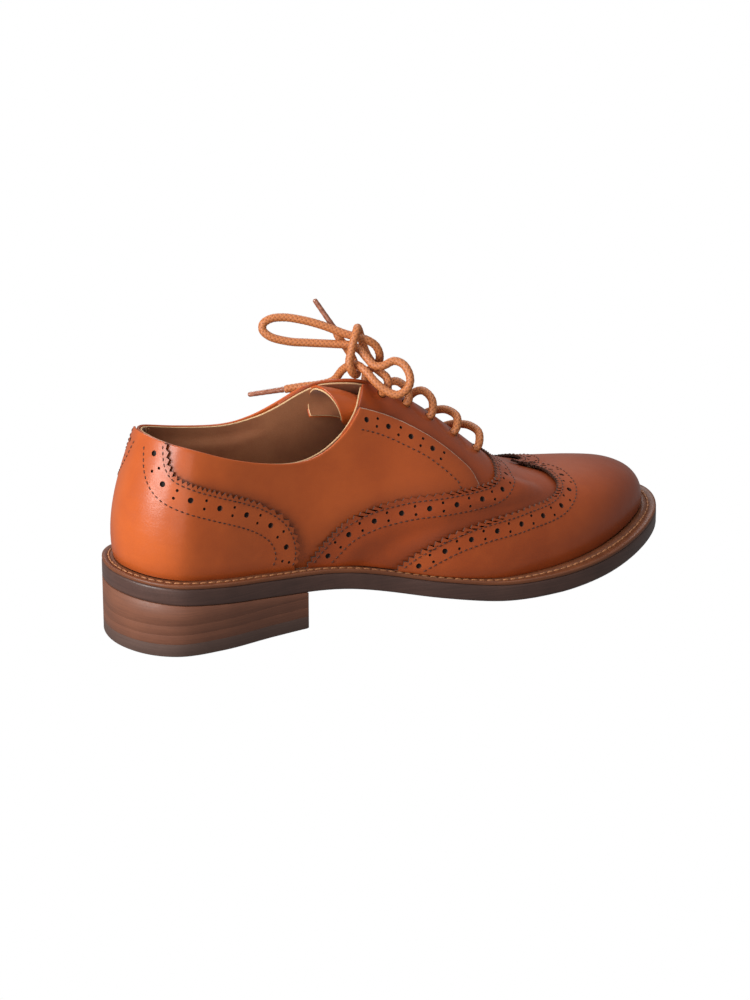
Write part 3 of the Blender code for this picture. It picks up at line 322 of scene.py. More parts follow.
def calf(name, pale, deep, depth_low, depth_high, ahead=(0.0, 0, 1)):
    """Smooth aniline calf: mottled dye, fine grain and a waxed gloss. A per-point attribute darkens it:
    burnish along an overlay's own edges, painted shade beside the edges of pieces that lie over it and
    where the upper meets the welt. ahead gives the share of a darkening along the shoe and the two places
    that it grows between: burnish on the toe cap, painted shade on the quarter and foxing."""
    n = Nodes(name)
    cloud = n.noise(34, 3, 0.6)
    mottle = n.noise(5.5, 4, 0.6)
    share = n.math("ADD", n.ramp(cloud, 0.35, 0.68, depth_low, depth_high),
                   n.ramp(mottle, 0.3, 0.7, -0.07, 0.07))
    colour = n.mix(share, pale, deep)
    # Darken by the per-point attribute: burnish on an overlay's own edges, painted shade and shadow beside
    # edges that lie over the piece, painted shade at the welt
    colour = n.mix(n.math("MULTIPLY", n.attribute("burnish_and_shade"), 0.85), colour, BURNT_DEEP)
    # The darkening along the shoe: burnish on the toe cap, painted shade towards the front on the quarter
    # and foxing
    share, start, end = ahead
    if share:
        colour = n.mix(n.math("MULTIPLY", n.ramp(n.axis("X"), start, end), share), colour, BURNT)
    grain = n.cells(0.55)
    fine = n.noise(0.9, 4, 0.7)
    crease = n.noise(7, 5, 0.62, n.stretched((1.0, 0.5, 2.2)))
    normal = n.bump(n.ramp(grain, 0.0, 0.5), 0.018)
    normal = n.bump(fine, 0.02, 1.0, normal)
    normal = n.bump(crease, 0.25, 0.5, normal)
    gloss = n.ramp(mottle, 0.25, 0.75, 0.30, 0.40)
    n.set(Base_Color=colour, Roughness=gloss, Normal=normal, Coat_Weight=0.15,
          Coat_Roughness=0.2, Specular_IOR_Level=0.4)
    return n.mat


def cut_edge(name, pale, dark):
    """The raw cut edge of leather: matt fibres in fine layers."""
    n = Nodes(name, roughness=0.8)
    fibre = n.noise(0.5, 4, 0.7)
    n.set(Base_Color=n.mix(n.ramp(fibre, 0.35, 0.65), pale, dark),
          Normal=n.bump(fibre, 0.06))
    return n.mat


def lining_leather(name, pale, deep):
    """Unfinished lining leather: matt, with a short nap and faint wrinkles."""
    n = Nodes(name)
    cloud = n.noise(22, 4, 0.6)
    nap = n.noise(0.5, 3, 0.7)
    colour = n.mix(n.ramp(cloud, 0.3, 0.7), pale, deep)
    colour = n.mix(n.ramp(nap, 0.35, 0.7, 0, 0.3), colour, deep)
    wrinkle = n.noise(6, 4, 0.6, n.stretched((0.7, 1.0, 2.0)))
    normal = n.bump(nap, 0.05)
    normal = n.bump(wrinkle, 0.3, 0.5, normal)
    n.set(Base_Color=colour, Roughness=n.ramp(nap, 0.3, 0.7, 0.62, 0.78), Normal=normal,
          Sheen_Weight=0.15, Sheen_Roughness=0.5)
    return n.mat


def sole_edge(name, pale, deep, gloss):
    """Inked and waxed leather edge: pressed layers that run level with the sole."""
    n = Nodes(name)
    layers = n.noise(7, 6, 0.75, n.stretched((0.25, 0.25, 13.0)))
    blotch = n.noise(15, 3, 0.6)
    pits = n.noise(0.7, 3, 0.7)
    share = n.math("ADD", n.ramp(layers, 0.3, 0.7, 0, 0.6), n.ramp(blotch, 0.3, 0.7, 0, 0.3))
    normal = n.bump(layers, 0.02, 0.6)
    normal = n.bump(pits, 0.05, 0.8, normal)
    n.set(Base_Color=n.mix(share, pale, deep), Normal=normal,
          Roughness=n.ramp(pits, 0.3, 0.7, gloss - 0.06, gloss + 0.1), Specular_IOR_Level=0.4)
    return n.mat


def braided(name, pale, deep):
    """Waxed cotton braid, painted darker down in its hollows as shade."""
    n = Nodes(name)
    height = n.attribute("braid")
    yarn = n.noise(0.35, 2, 0.6)
    # Painted shade: darker where the braid's surface lies low, in its hollows
    colour = n.mix(n.ramp(height, 0.1, 0.85), deep, pale)
    colour = n.mix(n.ramp(yarn, 0.35, 0.7, 0, 0.35), colour, deep)
    n.set(Base_Color=colour, Roughness=n.ramp(yarn, 0.3, 0.7, 0.42, 0.6),
          Normal=n.bump(yarn, 0.05), Specular_IOR_Level=0.5)
    return n.mat


def thread(name, pale, deep):
    n = Nodes(name)
    twist = n.noise(0.4, 2, 0.6)
    n.set(Base_Color=n.mix(n.ramp(twist, 0.35, 0.65), pale, deep), Roughness=0.55,
          Normal=n.bump(twist, 0.05))
    return n.mat


def aglet_film(name):
    """Clear brown film shrunk over the lace's tip."""
    n = Nodes(name)
    streak = n.noise(1.2, 3, 0.6)
    n.set(Base_Color=n.mix(n.ramp(streak, 0.3, 0.7), (0.42, 0.17, 0.10), (0.25, 0.08, 0.045)),
          Roughness=0.22, Coat_Weight=0.5, Coat_Roughness=0.08, Normal=n.bump(streak, 0.12))
    return n.mat


def brushed(name, colour, roughness):
    n = Nodes(name, colour, roughness, 1.0)
    lines = n.noise(2, 3, 0.6, n.stretched((0.2, 1, 6)))
    n.set(Normal=n.bump(lines, 0.04),
          Roughness=n.ramp(lines, 0.3, 0.7, roughness - 0.08, roughness + 0.1))
    return n.mat


def corky(name):
    n = Nodes(name, roughness=0.9)
    crumbs = n.cells(2.2)
    n.set(Base_Color=n.mix(n.ramp(crumbs, 0.1, 0.6), (0.5, 0.34, 0.2), (0.25, 0.14, 0.07)),
          Normal=n.bump(crumbs, 0.3))
    return n.mat


# ---------------------------------------------------------------- curves

def hermite(a, b, slope_a, slope_b, s, step):
    """The cubic from a to b over a step of x, at share s of it, with those slopes at its ends."""
    return (a * (1 + 2 * s) * (1 - s) ** 2 + b * s * s * (3 - 2 * s)
            + step * s * (1 - s) * (slope_a * (1 - s) - slope_b * s))


def rule(pairs, x):
    """Smooth curve through (x, value) pairs, held level past its ends."""
    xs, ys = np.array(pairs, float).T
    slopes = np.gradient(ys, xs)
    x = np.clip(np.asarray(x, float), xs[0], xs[-1])
    i = np.clip(np.searchsorted(xs, x, side="right") - 1, 0, len(xs) - 2)
    step = xs[i + 1] - xs[i]
    return hermite(ys[i], ys[i + 1], slopes[i], slopes[i + 1], (x - xs[i]) / step, step)


def distances(points):
    """How far along a line each of its points is."""
    return np.concatenate([[0], np.cumsum(np.linalg.norm(np.diff(points, axis=0), axis=1))])


def found(at, run, rows):
    """Values between rows, at one or more distances along a line whose distances are run."""
    return np.stack([np.interp(at, run, column) for column in rows.T], -1)


def through(points, count):
    """Points of a smooth curve through a list of points, evenly spaced along it."""
    pts = np.array(points, float)
    knots = np.concatenate([[0], np.cumsum(np.linalg.norm(np.diff(pts, axis=0), axis=1) ** 0.5)])
    at = np.linspace(0, knots[-1], 40 * len(pts))
    dense = np.stack([rule(list(zip(knots, column)), at) for column in pts.T], 1)
    return evenly(dense, count)


def evenly(dense, count, scale=1.0):
    """count + 1 points at equal steps along a finely sampled line, measured after scaling."""
    run = distances(dense * scale)
    return found(np.linspace(0, run[-1], count + 1), run, dense)


def underside(x):
    """Height of the sole's underside: never below the ground."""
    return np.maximum(rule(UNDERSIDE, x), 0.0)


def outline_at(u):
    """Point and outward direction on the sole's closed outline, for u from 0 to 1."""
    pts = np.array(OUTLINE, float)
    count = len(pts)
    step = np.linalg.norm(np.roll(pts, -1, 0) - pts, axis=1) ** 0.5
    knots = np.concatenate([[0], np.cumsum(step)]) / step.sum()
    step = np.diff(knots)
    ahead = (np.roll(pts, -1, 0) - pts) / step[:, None]
    behind, step_behind = np.roll(ahead, 1, 0), np.roll(step, 1)
    slopes = (behind * step[:, None] + ahead * step_behind[:, None]) / (step + step_behind)[:, None]
    u = np.mod(np.asarray(u, float), 1.0)
    i = np.clip(np.searchsorted(knots, u, side="right") - 1, 0, count - 1)
    j = (i + 1) % count
    s, h = ((u - knots[i]) / step[i])[..., None], step[i][..., None]
    point = hermite(pts[i], pts[j], slopes[i], slopes[j], s, h)
    along = ((pts[i] - pts[j]) * (6 * s * s - 6 * s) / h
             + slopes[i] * (1 - 4 * s + 3 * s * s) + slopes[j] * (3 * s * s - 2 * s))
    return point, unit(np.stack([along[..., 1], -along[..., 0]], -1))


# ---------------------------------------------------------------- the last

def feather(u):
    point, out = outline_at(u)
    return point - out * rule(FEATHER_INSET, point[..., 0])[..., None], out, point[..., 0]


def station_tables():
    """For each side, matching lists of station w and outline parameter u."""
    u = np.linspace(0, 1, 4001)
    x = feather(u)[0][:, 0]
    back, toe = u[x.argmin()], u[x.argmax()]
    back -= round(back)
    tables = {}
    for side, start in ((OUTER, back), (INNER, back + 1)):
        us = np.linspace(start, toe, 4001)
        xs = feather(us)[0][:, 0]
        part = np.clip((xs - x.min()) / (x.max() - x.min()), 0, 1)
        w = np.maximum.accumulate(np.arccos(1 - 2 * part) / math.pi)
        w[0], w[-1] = 0, 1
        tables[side] = list(zip(w[::50], us[::50]))
    return tables


STATIONS = station_tables()


def last_point(side, w, t):
    """The last's surface: a cubic from the feather line up the wall and over to the ridge."""
    foot, out, x_edge = feather(rule(STATIONS[side], w))
    fx, fy = foot[..., 0], foot[..., 1]
    fz = underside(x_edge) + OUTSOLE_THICK + WELT_THICK + 4 * GAP
    tx = rule(RIDGE_X, fx)
    ty = rule(RIDGE_Y, tx) + fy * np.maximum(rule(RIDGE_SPREAD, fx), 0)
    tz = rule(RIDGE_HIGH, tx)
    reach = rule(CROWN_REACH, fx)
    lean = np.clip((fx + 20) / 60, 0, 1) * (rule(RIDGE_HIGH, tx + 1) - rule(RIDGE_HIGH, tx - 1)) / 2
    bulge = rule(WALL_BULGE, fx)
    p0 = np.stack([fx, fy, fz], -1)
    p1 = np.stack([fx + out[..., 0] * bulge, fy + out[..., 1] * bulge, fz + rule(WALL_RISE, fx)], -1)
    p2 = np.stack([tx + (fx - tx) * reach, ty + (fy - ty) * reach,
                   tz - rule(CROWN_DROP, fx) + lean * (fx - tx) * reach], -1)
    p3 = np.stack([tx, ty, tz], -1)
    t = np.asarray(t, float)[..., None]
    return p0 * (1 - t) ** 3 + 3 * p1 * t * (1 - t) ** 2 + 3 * p2 * t * t * (1 - t) + p3 * t ** 3


def last_normal(side, w, t, step=0.002):
    """Outward direction of the last's surface; level at the feather line."""
    t = np.clip(t, 0, 1 - 2 * step)

    def past_seams(w):
        other = (w < 0) | (w > 1)
        inside = np.where(w < 0, -w, np.where(w > 1, 2 - w, w))
        same, across = last_point(side, inside, t), last_point(-side, inside, t)
        return np.where(other[..., None], across, same)

    along = past_seams(w + step) - past_seams(w - step)
    up = last_point(side, w, t + step) - last_point(side, w, np.maximum(t - step, 0))
    normal = np.cross(along, up) * -side
    normal[..., 2] *= np.clip(t / 0.06, 0, 1)
    return unit(normal)


def on_last(side, w, t, off):
    """World points off millimetres outside the last; side 0 is a seam that both sides share."""
    w, t, off = np.broadcast_arrays(*(np.asarray(v, float) for v in (w, t, off)))
    if side:
        return last_point(side, w, t) + last_normal(side, w, t) * off[..., None]
    normal = unit(last_normal(OUTER, w, t) + last_normal(INNER, w, t))
    return last_point(OUTER, w, t) + normal * off[..., None]


# ---------------------------------------------------------------- meshes

SHARP_ANGLE = 38             # degrees between two faces, from which their edge looks sharp


def add_mesh(name, points, faces, mats, slots=None, smooth_angle=SHARP_ANGLE, attributes=None):
    """An object from points in mm, its faces turned outwards; slots gives a material per face."""
    mesh = bpy.data.meshes.new(name)
    world = (np.asarray(points, float) + (0, CENTRE_Y, 0)) * MM
    mesh.from_pydata(world.tolist(), [], [tuple(int(i) for i in f) for f in faces])
    for mat in mats:
        mesh.materials.append(mat)
    if slots is not None:
        mesh.polygons.foreach_set("material_index", np.asarray(slots, np.int32))
    for word, values in (attributes or {}).items():
        layer = mesh.attributes.new(word, "FLOAT", "POINT")
        layer.data.foreach_set("value", np.asarray(values, np.float32))
    bm = bmesh.new()
    bm.from_mesh(mesh)
    bmesh.ops.recalc_face_normals(bm, faces=bm.faces)
    bm.to_mesh(mesh)
    bm.free()
    mesh.shade_smooth()
    mesh.set_sharp_from_angle(angle=math.radians(smooth_angle))
    obj = bpy.data.objects.new(name + "_look", mesh)
    bpy.context.scene.collection.objects.link(obj)
    return obj


def grid_faces(rows, columns, start=0, wrap=False):
    """Quads over a grid of rows by columns points, numbered along each row."""
    across = columns if wrap else columns - 1
    return [(start + i * columns + j, start + i * columns + (j + 1) % columns,
             start + (i + 1) * columns + (j + 1) % columns, start + (i + 1) * columns + j)
            for i in range(rows - 1) for j in range(across)]


def open_edges(faces):
    """The boundary edges of a skin, each as its face runs along it."""
    used = {}
    for face in faces:
        for a, b in zip(face, face[1:] + face[:1]):
            used.setdefault(frozenset((a, b)), []).append((a, b))
    return [ways[0] for ways in used.values() if len(ways) == 1]


RIM_TURNS = (60, 30, 0, -30, -60)
TINY = 1e-9


def shell(name, outside, inside, faces, mats, rim, attributes):
    """A sheet between two skins. rim(n) gives the edge's material and roundness at point n."""
    count = len(outside)
    edges = open_edges(faces)
    middle, half = (outside + inside) / 2, (outside - inside) / 2
    way = {}
    for a, b in edges:
        out = np.cross(outside[b] - outside[a], unit(half[a] + half[b]))
        for n in (a, b):
            way[n] = way.get(n, 0) + out / max(np.linalg.norm(out), TINY)
    order = {n: k for k, n in enumerate(way)}
    points = [outside, inside]
    for turn in np.radians(RIM_TURNS):
        row_points = []
        for n, out in way.items():
            out = out / max(np.linalg.norm(out), TINY) * np.linalg.norm(half[n])
            row_points.append(middle[n] + half[n] * math.sin(turn) + out * math.cos(turn) * rim(n)[1])
        points.append(np.array(row_points))
    rows = [lambda n: n]
    for k in range(len(RIM_TURNS)):
        rows.append(lambda n, k=k: 2 * count + k * len(order) + order[n])
    rows.append(lambda n: n + count)
    all_faces = list(faces) + [tuple(i + count for i in reversed(face)) for face in faces]
    slots = [0] * len(all_faces)
    for a, b in edges:
        for upper, lower in zip(rows, rows[1:]):
            all_faces.append((upper(b), upper(a), lower(a), lower(b)))
            slots.append(rim(a)[0])
    tags = {}
    for word, values in attributes.items():
        ring = [values[n] for n in order]
        tags[word] = np.concatenate([values, values] + [ring] * len(RIM_TURNS))
    return add_mesh(name, np.vstack(points), all_faces, mats, slots, attributes=tags)


def drilled(obj, cutter):
    """Cut holes into a closed mesh; the cutter's material lines them. Then drop the cutter."""
    cut = obj.modifiers.new("holes", "BOOLEAN")
    cut.operation, cut.solver, cut.object = "DIFFERENCE", "MANIFOLD", cutter
    cut.material_mode = "TRANSFER"
    graph = bpy.context.evaluated_depsgraph_get()
    mesh = bpy.data.meshes.new_from_object(obj.evaluated_get(graph))
    obj.modifiers.clear()
    old, obj.data = obj.data, mesh
    bpy.data.meshes.remove(old)
    mesh.set_sharp_from_angle(angle=math.radians(SHARP_ANGLE))
    bpy.data.objects.remove(cutter)


def leather(name, patches, levels, mats, rim, burnish_and_shade=None):
    """A piece of leather over one or both sides. levels gives (inner, outer) faces for w, t."""
    index, faces = {}, []
    for side, grid in patches.items():
        number = []
        for w, t in np.round(grid.reshape(-1, 2), 5).tolist():
            seam = len(patches) == 2 and (w <= 0 or w >= 1 or t >= 1)
            key = (0 if seam else side, min(max(w, 0), 1), min(max(t, 0), 1))
            number.append(index.setdefault(key, len(index)))
        for corners in grid_faces(*grid.shape[:2]):
            quad = list(dict.fromkeys(number[k] for k in corners[::-side]))
            if len(quad) > 2:
                faces.append(tuple(quad))
    where = np.array(list(index))
    skins = np.zeros((2, len(index), 3))
    shade = np.zeros(len(index))
    for side in (0, OUTER, INNER):
        mine = where[:, 0] == side
        if mine.any():
            w, t = where[mine, 1], where[mine, 2]
            for face in (0, 1):
                skins[face, mine] = on_last(side, w, t, levels(side, w, t)[face])
            if burnish_and_shade:
                shade[mine] = burnish_and_shade(side, w, t)
    rims = [rim(*key) for key in index]
    return shell(name, skins[1], skins[0], faces, mats, rims.__getitem__, {"burnish_and_shade": shade})


def smooth_line(points, side, step):
    """A drawn line as stations and rises at even steps of about step mm along the last."""
    dense = through(points, 500)
    run = distances(on_last(side, dense[:, 0], dense[:, 1], 0))
    return found(np.linspace(0, run[-1], max(2, round(run[-1] / step)) + 1), run, dense)


def moved_in(line_, side, distance, toward):
    """A drawn line moved sideways over the last, distance mm towards a place inside."""
    w, t = line_[:, 0].copy(), line_[:, 1].copy()
    steps = max(1, math.ceil(np.abs(distance).max() / 1.2))
    inside = on_last(side, *toward, 0.0)
    small = 0.0015
    sign = 0
    for _ in range(steps):
        p = on_last(side, w, t, 0)
        along = np.gradient(p, axis=0)
        low, high = np.clip(t - small, 0, 1), np.clip(t + small, 0, 1)
        up = (last_point(side, w, high) - last_point(side, w, low)) / (high - low)[:, None]
        back, front = np.clip(w - small, 0, 1), np.clip(w + small, 0, 1)
        ahead = (last_point(side, front, t) - last_point(side, back, t)) / (front - back)[:, None]
        across = unit(np.cross(np.cross(ahead, up), along))
        if not sign:
            sign = 1 if ((inside - p) * across).sum() > 0 else -1
        want = across * sign * (np.broadcast_to(distance, w.shape) / steps)[:, None]
        aa, bb, ab = (ahead ** 2).sum(1), (up ** 2).sum(1), (ahead * up).sum(1)
        wa, wb = (want * ahead).sum(1), (want * up).sum(1)
        det = aa * bb - ab * ab
        w = np.clip(w + (wa * bb - wb * ab) / det, 0, 1)
        t = np.clip(t + (wb * aa - wa * ab) / det, 0, 1)
    return np.stack([w, t], 1)


TOOTH_PITCH, TOOTH_DEPTH = 3.6, 1.7


def pinked(line_, side, toward):
    """The same line with every second point moved in, as pinking shears cut it."""
    depth = np.where(np.arange(len(line_)) % 2, TOOTH_DEPTH * 0.6, -TOOTH_DEPTH * 0.4)
    depth[[0, -1]] = 0
    return moved_in(line_, side, depth, toward)


def teeth(length):
    """Steps along a pinked edge about length mm long, two for each tooth."""
    return 2 * round(length / TOOTH_PITCH)


# ---------------------------------------------------------------- stitches and holes

STITCH_PITCH, STITCH_LONG = 2.4, 1.75


def stitches(name, runs, mat, pitch=STITCH_PITCH, long=STITCH_LONG, wide=0.6, high=0.34):
    """Rows of short sunk threads. runs holds (points, normals) of each row."""
    turns = np.radians(np.arange(6) * 60.0)
    stations = np.array([-0.5, -0.38, -0.13, 0.13, 0.38, 0.5])
    girth = np.array([0.3, 0.85, 1.0, 1.0, 0.85, 0.3])
    dip = np.array([-0.32, -0.08, 0.03, 0.03, -0.08, -0.32])
    one = grid_faces(len(stations), len(turns), wrap=True)
    one += [tuple(range(5, -1, -1)), tuple(range(30, 36))]
    points, faces = [], []
    for place, normal in runs:
        run = distances(place)
        count = max(1, int(run[-1] / pitch))
        for at in (np.arange(count) + 0.5) * run[-1] / count:
            along = unit(found(at + 0.3, run, place) - found(at - 0.3, run, place))
            up = unit(found(at, run, normal))
            body = (found(at, run, place) + along * (stations * long)[:, None, None]
                    + np.cross(up, along) * (np.cos(turns)[:, None] * wide / 2 * girth[:, None, None])
                    + up * (np.sin(turns)[:, None] * high * girth[:, None, None] + dip[:, None, None]))
            start = len(points) * len(stations) * len(turns)
            points.append(body.reshape(-1, 3))
            faces += [tuple(i + start for i in face) for face in one]
    return add_mesh(name, np.vstack(points), faces, [mat], smooth_angle=80)


def hole_cutter(holes, mats, sides=14):
    """Blind holes: (place, normal, radius, depth) each, with cut walls and a floor painted near black as
    the shade in each hole.
    """
    points, faces, slots = [], [], []
    turns = np.linspace(0, 2 * math.pi, sides, endpoint=False)
    for place, normal, radius, depth in holes:
        across = unit(np.cross(normal, (0.3, 0.5, 0.81)))
        other = np.cross(normal, across)
        start = len(points)
        for rise, grow in ((-depth, 0.94), (0.6, 1.06)):
            points += [place + normal * rise + radius * grow * (math.cos(a) * across + math.sin(a) * other)
                       for a in turns]
        walls = grid_faces(2, sides, start, wrap=True)
        faces += walls + [tuple(range(start + sides - 1, start - 1, -1)),
                          tuple(range(start + sides, start + 2 * sides))]
        slots += [0] * len(walls) + [1, 1]
    return add_mesh("cutter", np.array(points), faces, mats, slots)


BIG_HOLE, SMALL_HOLE, HOLE_DEEP = 1.2, 0.63, 0.95
PAIR_APART = 3.5


def brogue_holes(side, line_, levels, first, bare, step):
    """Big holes along a line, from first to bare mm before its end, and small pairs between."""
    place, normal = row(side, line_, levels, everywhere=True)
    run = distances(place)
    holes = []
    for number in range(int((run[-1] - first - bare) / step) + 1):
        at = first + number * step
        holes.append((found(at, run, place), unit(found(at, run, normal)), BIG_HOLE, HOLE_DEEP))
        at += step / 2
        if at < run[-1] - bare + step / 2 and at < run[-1]:
            p, n = found(at, run, place), found(at, run, normal)
            ahead, behind = found(min(at + 0.5, run[-1]), run, place), found(at - 0.5, run, place)
            across = unit(np.cross(n, ahead - behind))
            holes += [(p + across * way * PAIR_APART, unit(n), SMALL_HOLE, HOLE_DEEP)
                      for way in (-0.5, 0.5)]
    return holes


# ---------------------------------------------------------------- lines on the last

def progress(points):
    """How far along a drawn line each of its points is, from 0 to 1."""
    steps = np.linalg.norm(np.diff(points, axis=0) * DRAWN_SCALE, axis=1)
    return np.concatenate([[0], np.cumsum(steps)]) / steps.sum()


def patch(foot, top, back, front):
    """Grid of (w, t) between four lines that meet at their ends; rows run from foot to top."""
    s = ((progress(back) + progress(front)) / 2)[:, None, None]
    a = ((progress(foot) + progress(top)) / 2)[None, :, None]
    corners = ((1 - a) * (1 - s) * foot[0] + a * (1 - s) * foot[-1]
               + (1 - a) * s * top[0] + a * s * top[-1])
    return ((1 - a) * back[:, None] + a * front[:, None]
            + (1 - s) * foot[None] + s * top[None] - corners)


def flat(pair):
    """Levels that are the same everywhere."""
    return lambda side, w, t: (np.full_like(w, pair[0]), np.full_like(w, pair[1]))


def ease(low, high, x):
    s = np.clip((x - low) / (high - low), 0, 1)
    return s * s * (3 - 2 * s)


TOPLINE = {OUTER: through(TOPLINE_OUTER, 600), INNER: through(TOPLINE_INNER, 600)}
BACK_RISE = TOPLINE_OUTER[0][1]


def topline_rise(side, w):
    """The topline's rise at stations w; at a seam that both sides share, the outer side's."""
    return np.interp(w, *TOPLINE[side or OUTER].T)


def topline_part(side, low, high, steps):
    """The stretch of the topline between two stations."""
    w = np.linspace(low, high, 200)
    return evenly(np.stack([w, topline_rise(side, w)], 1), steps, DRAWN_SCALE)


def straight(start, end, steps):
    return np.linspace(start, end, steps + 1)


def fine(points, count):
    """A drawn line at even steps over the last, given as so many steps."""
    return evenly(through(points, 800), count, DRAWN_SCALE)


def split_sides(edge, xs):
    back, toe = edge[:, 0].argmin(), edge[:, 0].argmax()
    lower = edge[back:toe + 1]
    upper = np.vstack([edge[toe:], edge[:back + 1]])[::-1]
    return np.interp(xs, lower[:, 0], lower[:, 1]), np.interp(xs, upper[:, 0], upper[:, 1])


def offset_outline(inset):
    point, out = outline_at(np.linspace(0, 1, 2401))
    return point - out * inset


def lining_levels(side, w, t):
    """The lining lies against the leather, and steps in where a stiffener or facing is between."""
    below = topline_rise(side, w) - t
    deep = np.maximum(ease(0.05, 0.12, below), ease(0.34, 0.40, w)) * (1 - ease(0.70, 0.78, w))
    return tuple(LINING_AT_EDGE[n] + deep * (LINING[n] - LINING_AT_EDGE[n]) for n in (0, 1))


def vamp_levels(side, w, t):
    """On top of the quarter at the back, down to the last's surface under the toe cap."""
    edge = through(VAMP_EDGE, 400)
    front = through(VAMP_FRONT, 400)
    start, end = np.interp(t, edge[:, 1], edge[:, 0]), np.interp(t, front[:, 1], front[:, 0])
    part = (w - start) / np.maximum(end - start, 0.01)
    lift = (1 - ease(0.27, 0.56, part)) * (1 - ease(0.52, 0.64, t))
    return tuple(VAMP_LOW[n] + lift * (OVERLAY[n] - VAMP_LOW[n]) for n in (0, 1))


def closer(start, end, steps, power=1.25):
    """Steps along the feather line, closer together where it turns round heel or toe."""
    share = np.linspace(0, 1, steps + 1)[:, None] ** power
    return np.array(start) * (1 - share) + np.array(end) * share


def crowded(points, steps):
    """A line whose steps shorten towards its end, up on the crown of the shoe."""
    dense = evenly(through(points, 400), 200, DRAWN_SCALE)
    along = 1 - (1 - np.linspace(0, 1, steps + 1)) ** 1.6
    return found(along, np.linspace(0, 1, 201), dense)


def ends_on_topline(points, side):
    """The same line, its last point moved onto that side's topline."""
    points = points.copy()
    points[-1, 1] = topline_rise(side, points[-1, 0])
    return points


def eyelet(side, number, off):
    return on_last(side, *EYELETS[number], off)


def eyelet_holes(side, start, radius, depth):
    """Holes through a piece along each eyelet, depth mm deep from start mm outside the last."""
    holes = []
    for number in range(len(EYELETS)):
        top, foot = eyelet(side, number, start), eyelet(side, number, start - depth)
        holes.append((top, unit(top - foot), radius, depth))
    return holes


def tongue_skin(xs, arch, depth):
    """Points over the tongue's arch, depth millimetres below its top face."""
    x = np.repeat(xs[:, None], len(arch), 1)
    k = np.repeat(arch[None], len(xs), 0)
    narrow = 1 - 0.5 * depth / rule(TONGUE_HALF, x)
    y = rule(TONGUE_Y, x) + rule(TONGUE_HALF, x) * k * narrow
    z = rule(TONGUE_TOP, x) - rule(TONGUE_FALL, x) * np.abs(k) ** 1.9 - depth
    curl = ease(2, 30, -x)
    radius = rule(TONGUE_HALF, x) - depth
    turn = k * TONGUE_CURL
    fall = rule(TONGUE_FALL, x) / (1 - math.cos(TONGUE_CURL)) - depth
    y += curl * (rule(TONGUE_Y, x) + radius * np.sin(turn) - y)
    z += curl * (rule(TONGUE_TOP, x) - depth - fall * (1 - np.cos(turn)) - z)
    slant = TONGUE_SLANT * np.maximum(-k, 0) * ease(0, -TONGUE_X[1], -x)
    return np.stack([x + slant, y, z], -1).reshape(-1, 3)


# Bars over the throat, from the outer eyelet of a row to the inner one, rows 2 to 5
BARS = {1: ((2.5, -6, 88.5), (1.5, 0, 90.5), (0.5, 5.5, 88.5)),
        2: ((14.5, -7, 82), (14, -1, 84.5), (13, 5, 82.5)),
        3: ((26, -8.5, 73), (25.5, -1.5, 74.3), (24.5, 5.5, 72.6)),
        4: ((36.5, -9.5, 64.4), (36.5, -2, 65.6), (35.5, 6, 64.3), (35, 10, 63.2))}
# The last run: from the lowest outer eyelet, under the throat, to the top inner one
LONG_RUN = ((27, -6.7, 58.5), (19, -3, 65.8), (9, 0, 73.6), (0, 1.5, 79.6), (-6, 1.8, 82.7),
            (-9.3, 2.4, 84.6))
# The bow, from each top eyelet to its aglet
INNER_END = ((-8.6, 9, 92.8), (-7.6, 7.5, 95.2), (-6, 4.5, 97.3), (-6.2, 2, 100.5),
             (-7, 0.5, 104), (-8.5, 1, 107.5), (-11.5, 2.5, 110), (-14, 4.5, 111),
             (-19, 8, 112.5), (-27, 14, 116), (-33.5, 19, 118), (-40, 23.5, 119),
             (-45, 26, 118.5), (-48, 27, 116.5), (-48.5, 26.5, 114), (-46.5, 24, 111.5),
             (-40, 19.5, 109.5), (-33.5, 15.5, 109), (-24, 9.5, 108.5), (-18, 5.5, 108),
             (-15.5, 2.5, 106.5), (-14, -1, 103.5), (-12.5, -4.5, 101), (-10, -7, 101),
             (-5.5, -9, 103), (-3, -12, 102), (-2, -15, 99), (-2.5, -17, 95.5),
             (-4.5, -17.5, 92.5), (-8, -16, 90.5), (-11, -13, 91.5), (-14, -9, 94.5),
             (-16, -4, 98.5), (-17.5, 0.5, 100.5), (-18.5, 5, 99.5), (-19.3, 10.3, 96.2),
             (-21, 15.4, 90.4), (-25.5, 20.2, 88), (-30, 24, 87), (-33.5, 26.6, 86.2),
             (-37, 29, 85.4))
OUTER_END = ((-8.2, -8.6, 93.2), (-7.8, -6.6, 95.5), (-8.6, -3, 97), (-9.5, 0.5, 98.5),
             (-9.5, 3, 100.3), (-10, 5.5, 102.5), (-10.5, 7.8, 106), (-11.5, 8.5, 110.5),
             (-14, 6.5, 114.8), (-16.5, 3.2, 114.8), (-18.8, 1.5, 111.5),
             (-20.5, 1, 106.5), (-22, 0, 102.5), (-21.5, -0.5, 99.5), (-19.5, 0.5, 97),
             (-16.5, 3, 96), (-15, 7, 98.5), (-15.5, 10, 102.5), (-17.5, 11.5, 106.5),
             (-19.5, 12.5, 109.5), (-20.5, 14, 113))
INNER_AGLET = (-14, 9, -2.7)       # the way each aglet points
OUTER_AGLET = (-6.5, 6, 12.5)
SEAT = -6.4                        # how deep the lace runs under the facing
HOLE_OFFS = (0.6, -1.9, -4.4)      # places along an eyelet that keep the lace square to it
RUN_END, FREE_START = -2.7, -1.8   # where the lace is parted inside each top eyelet
EXIT_OFF = 1.9                     # where a free end leaves its eyelet


def beneath(side, upper, lower):
    """Two places on a run under the facing between two eyelets."""
    ends = np.array([EYELETS[upper], EYELETS[lower]])
    places = [ends[0] + share * (ends[1] - ends[0]) for share in (0.3, 0.7)]
    return [tuple(on_last(side, w, t, SEAT)) for w, t in places]


def through_eyelet(side, number, inwards=True):
    offs = HOLE_OFFS if inwards else HOLE_OFFS[::-1]
    return [tuple(eyelet(side, number, off)) for off in offs]


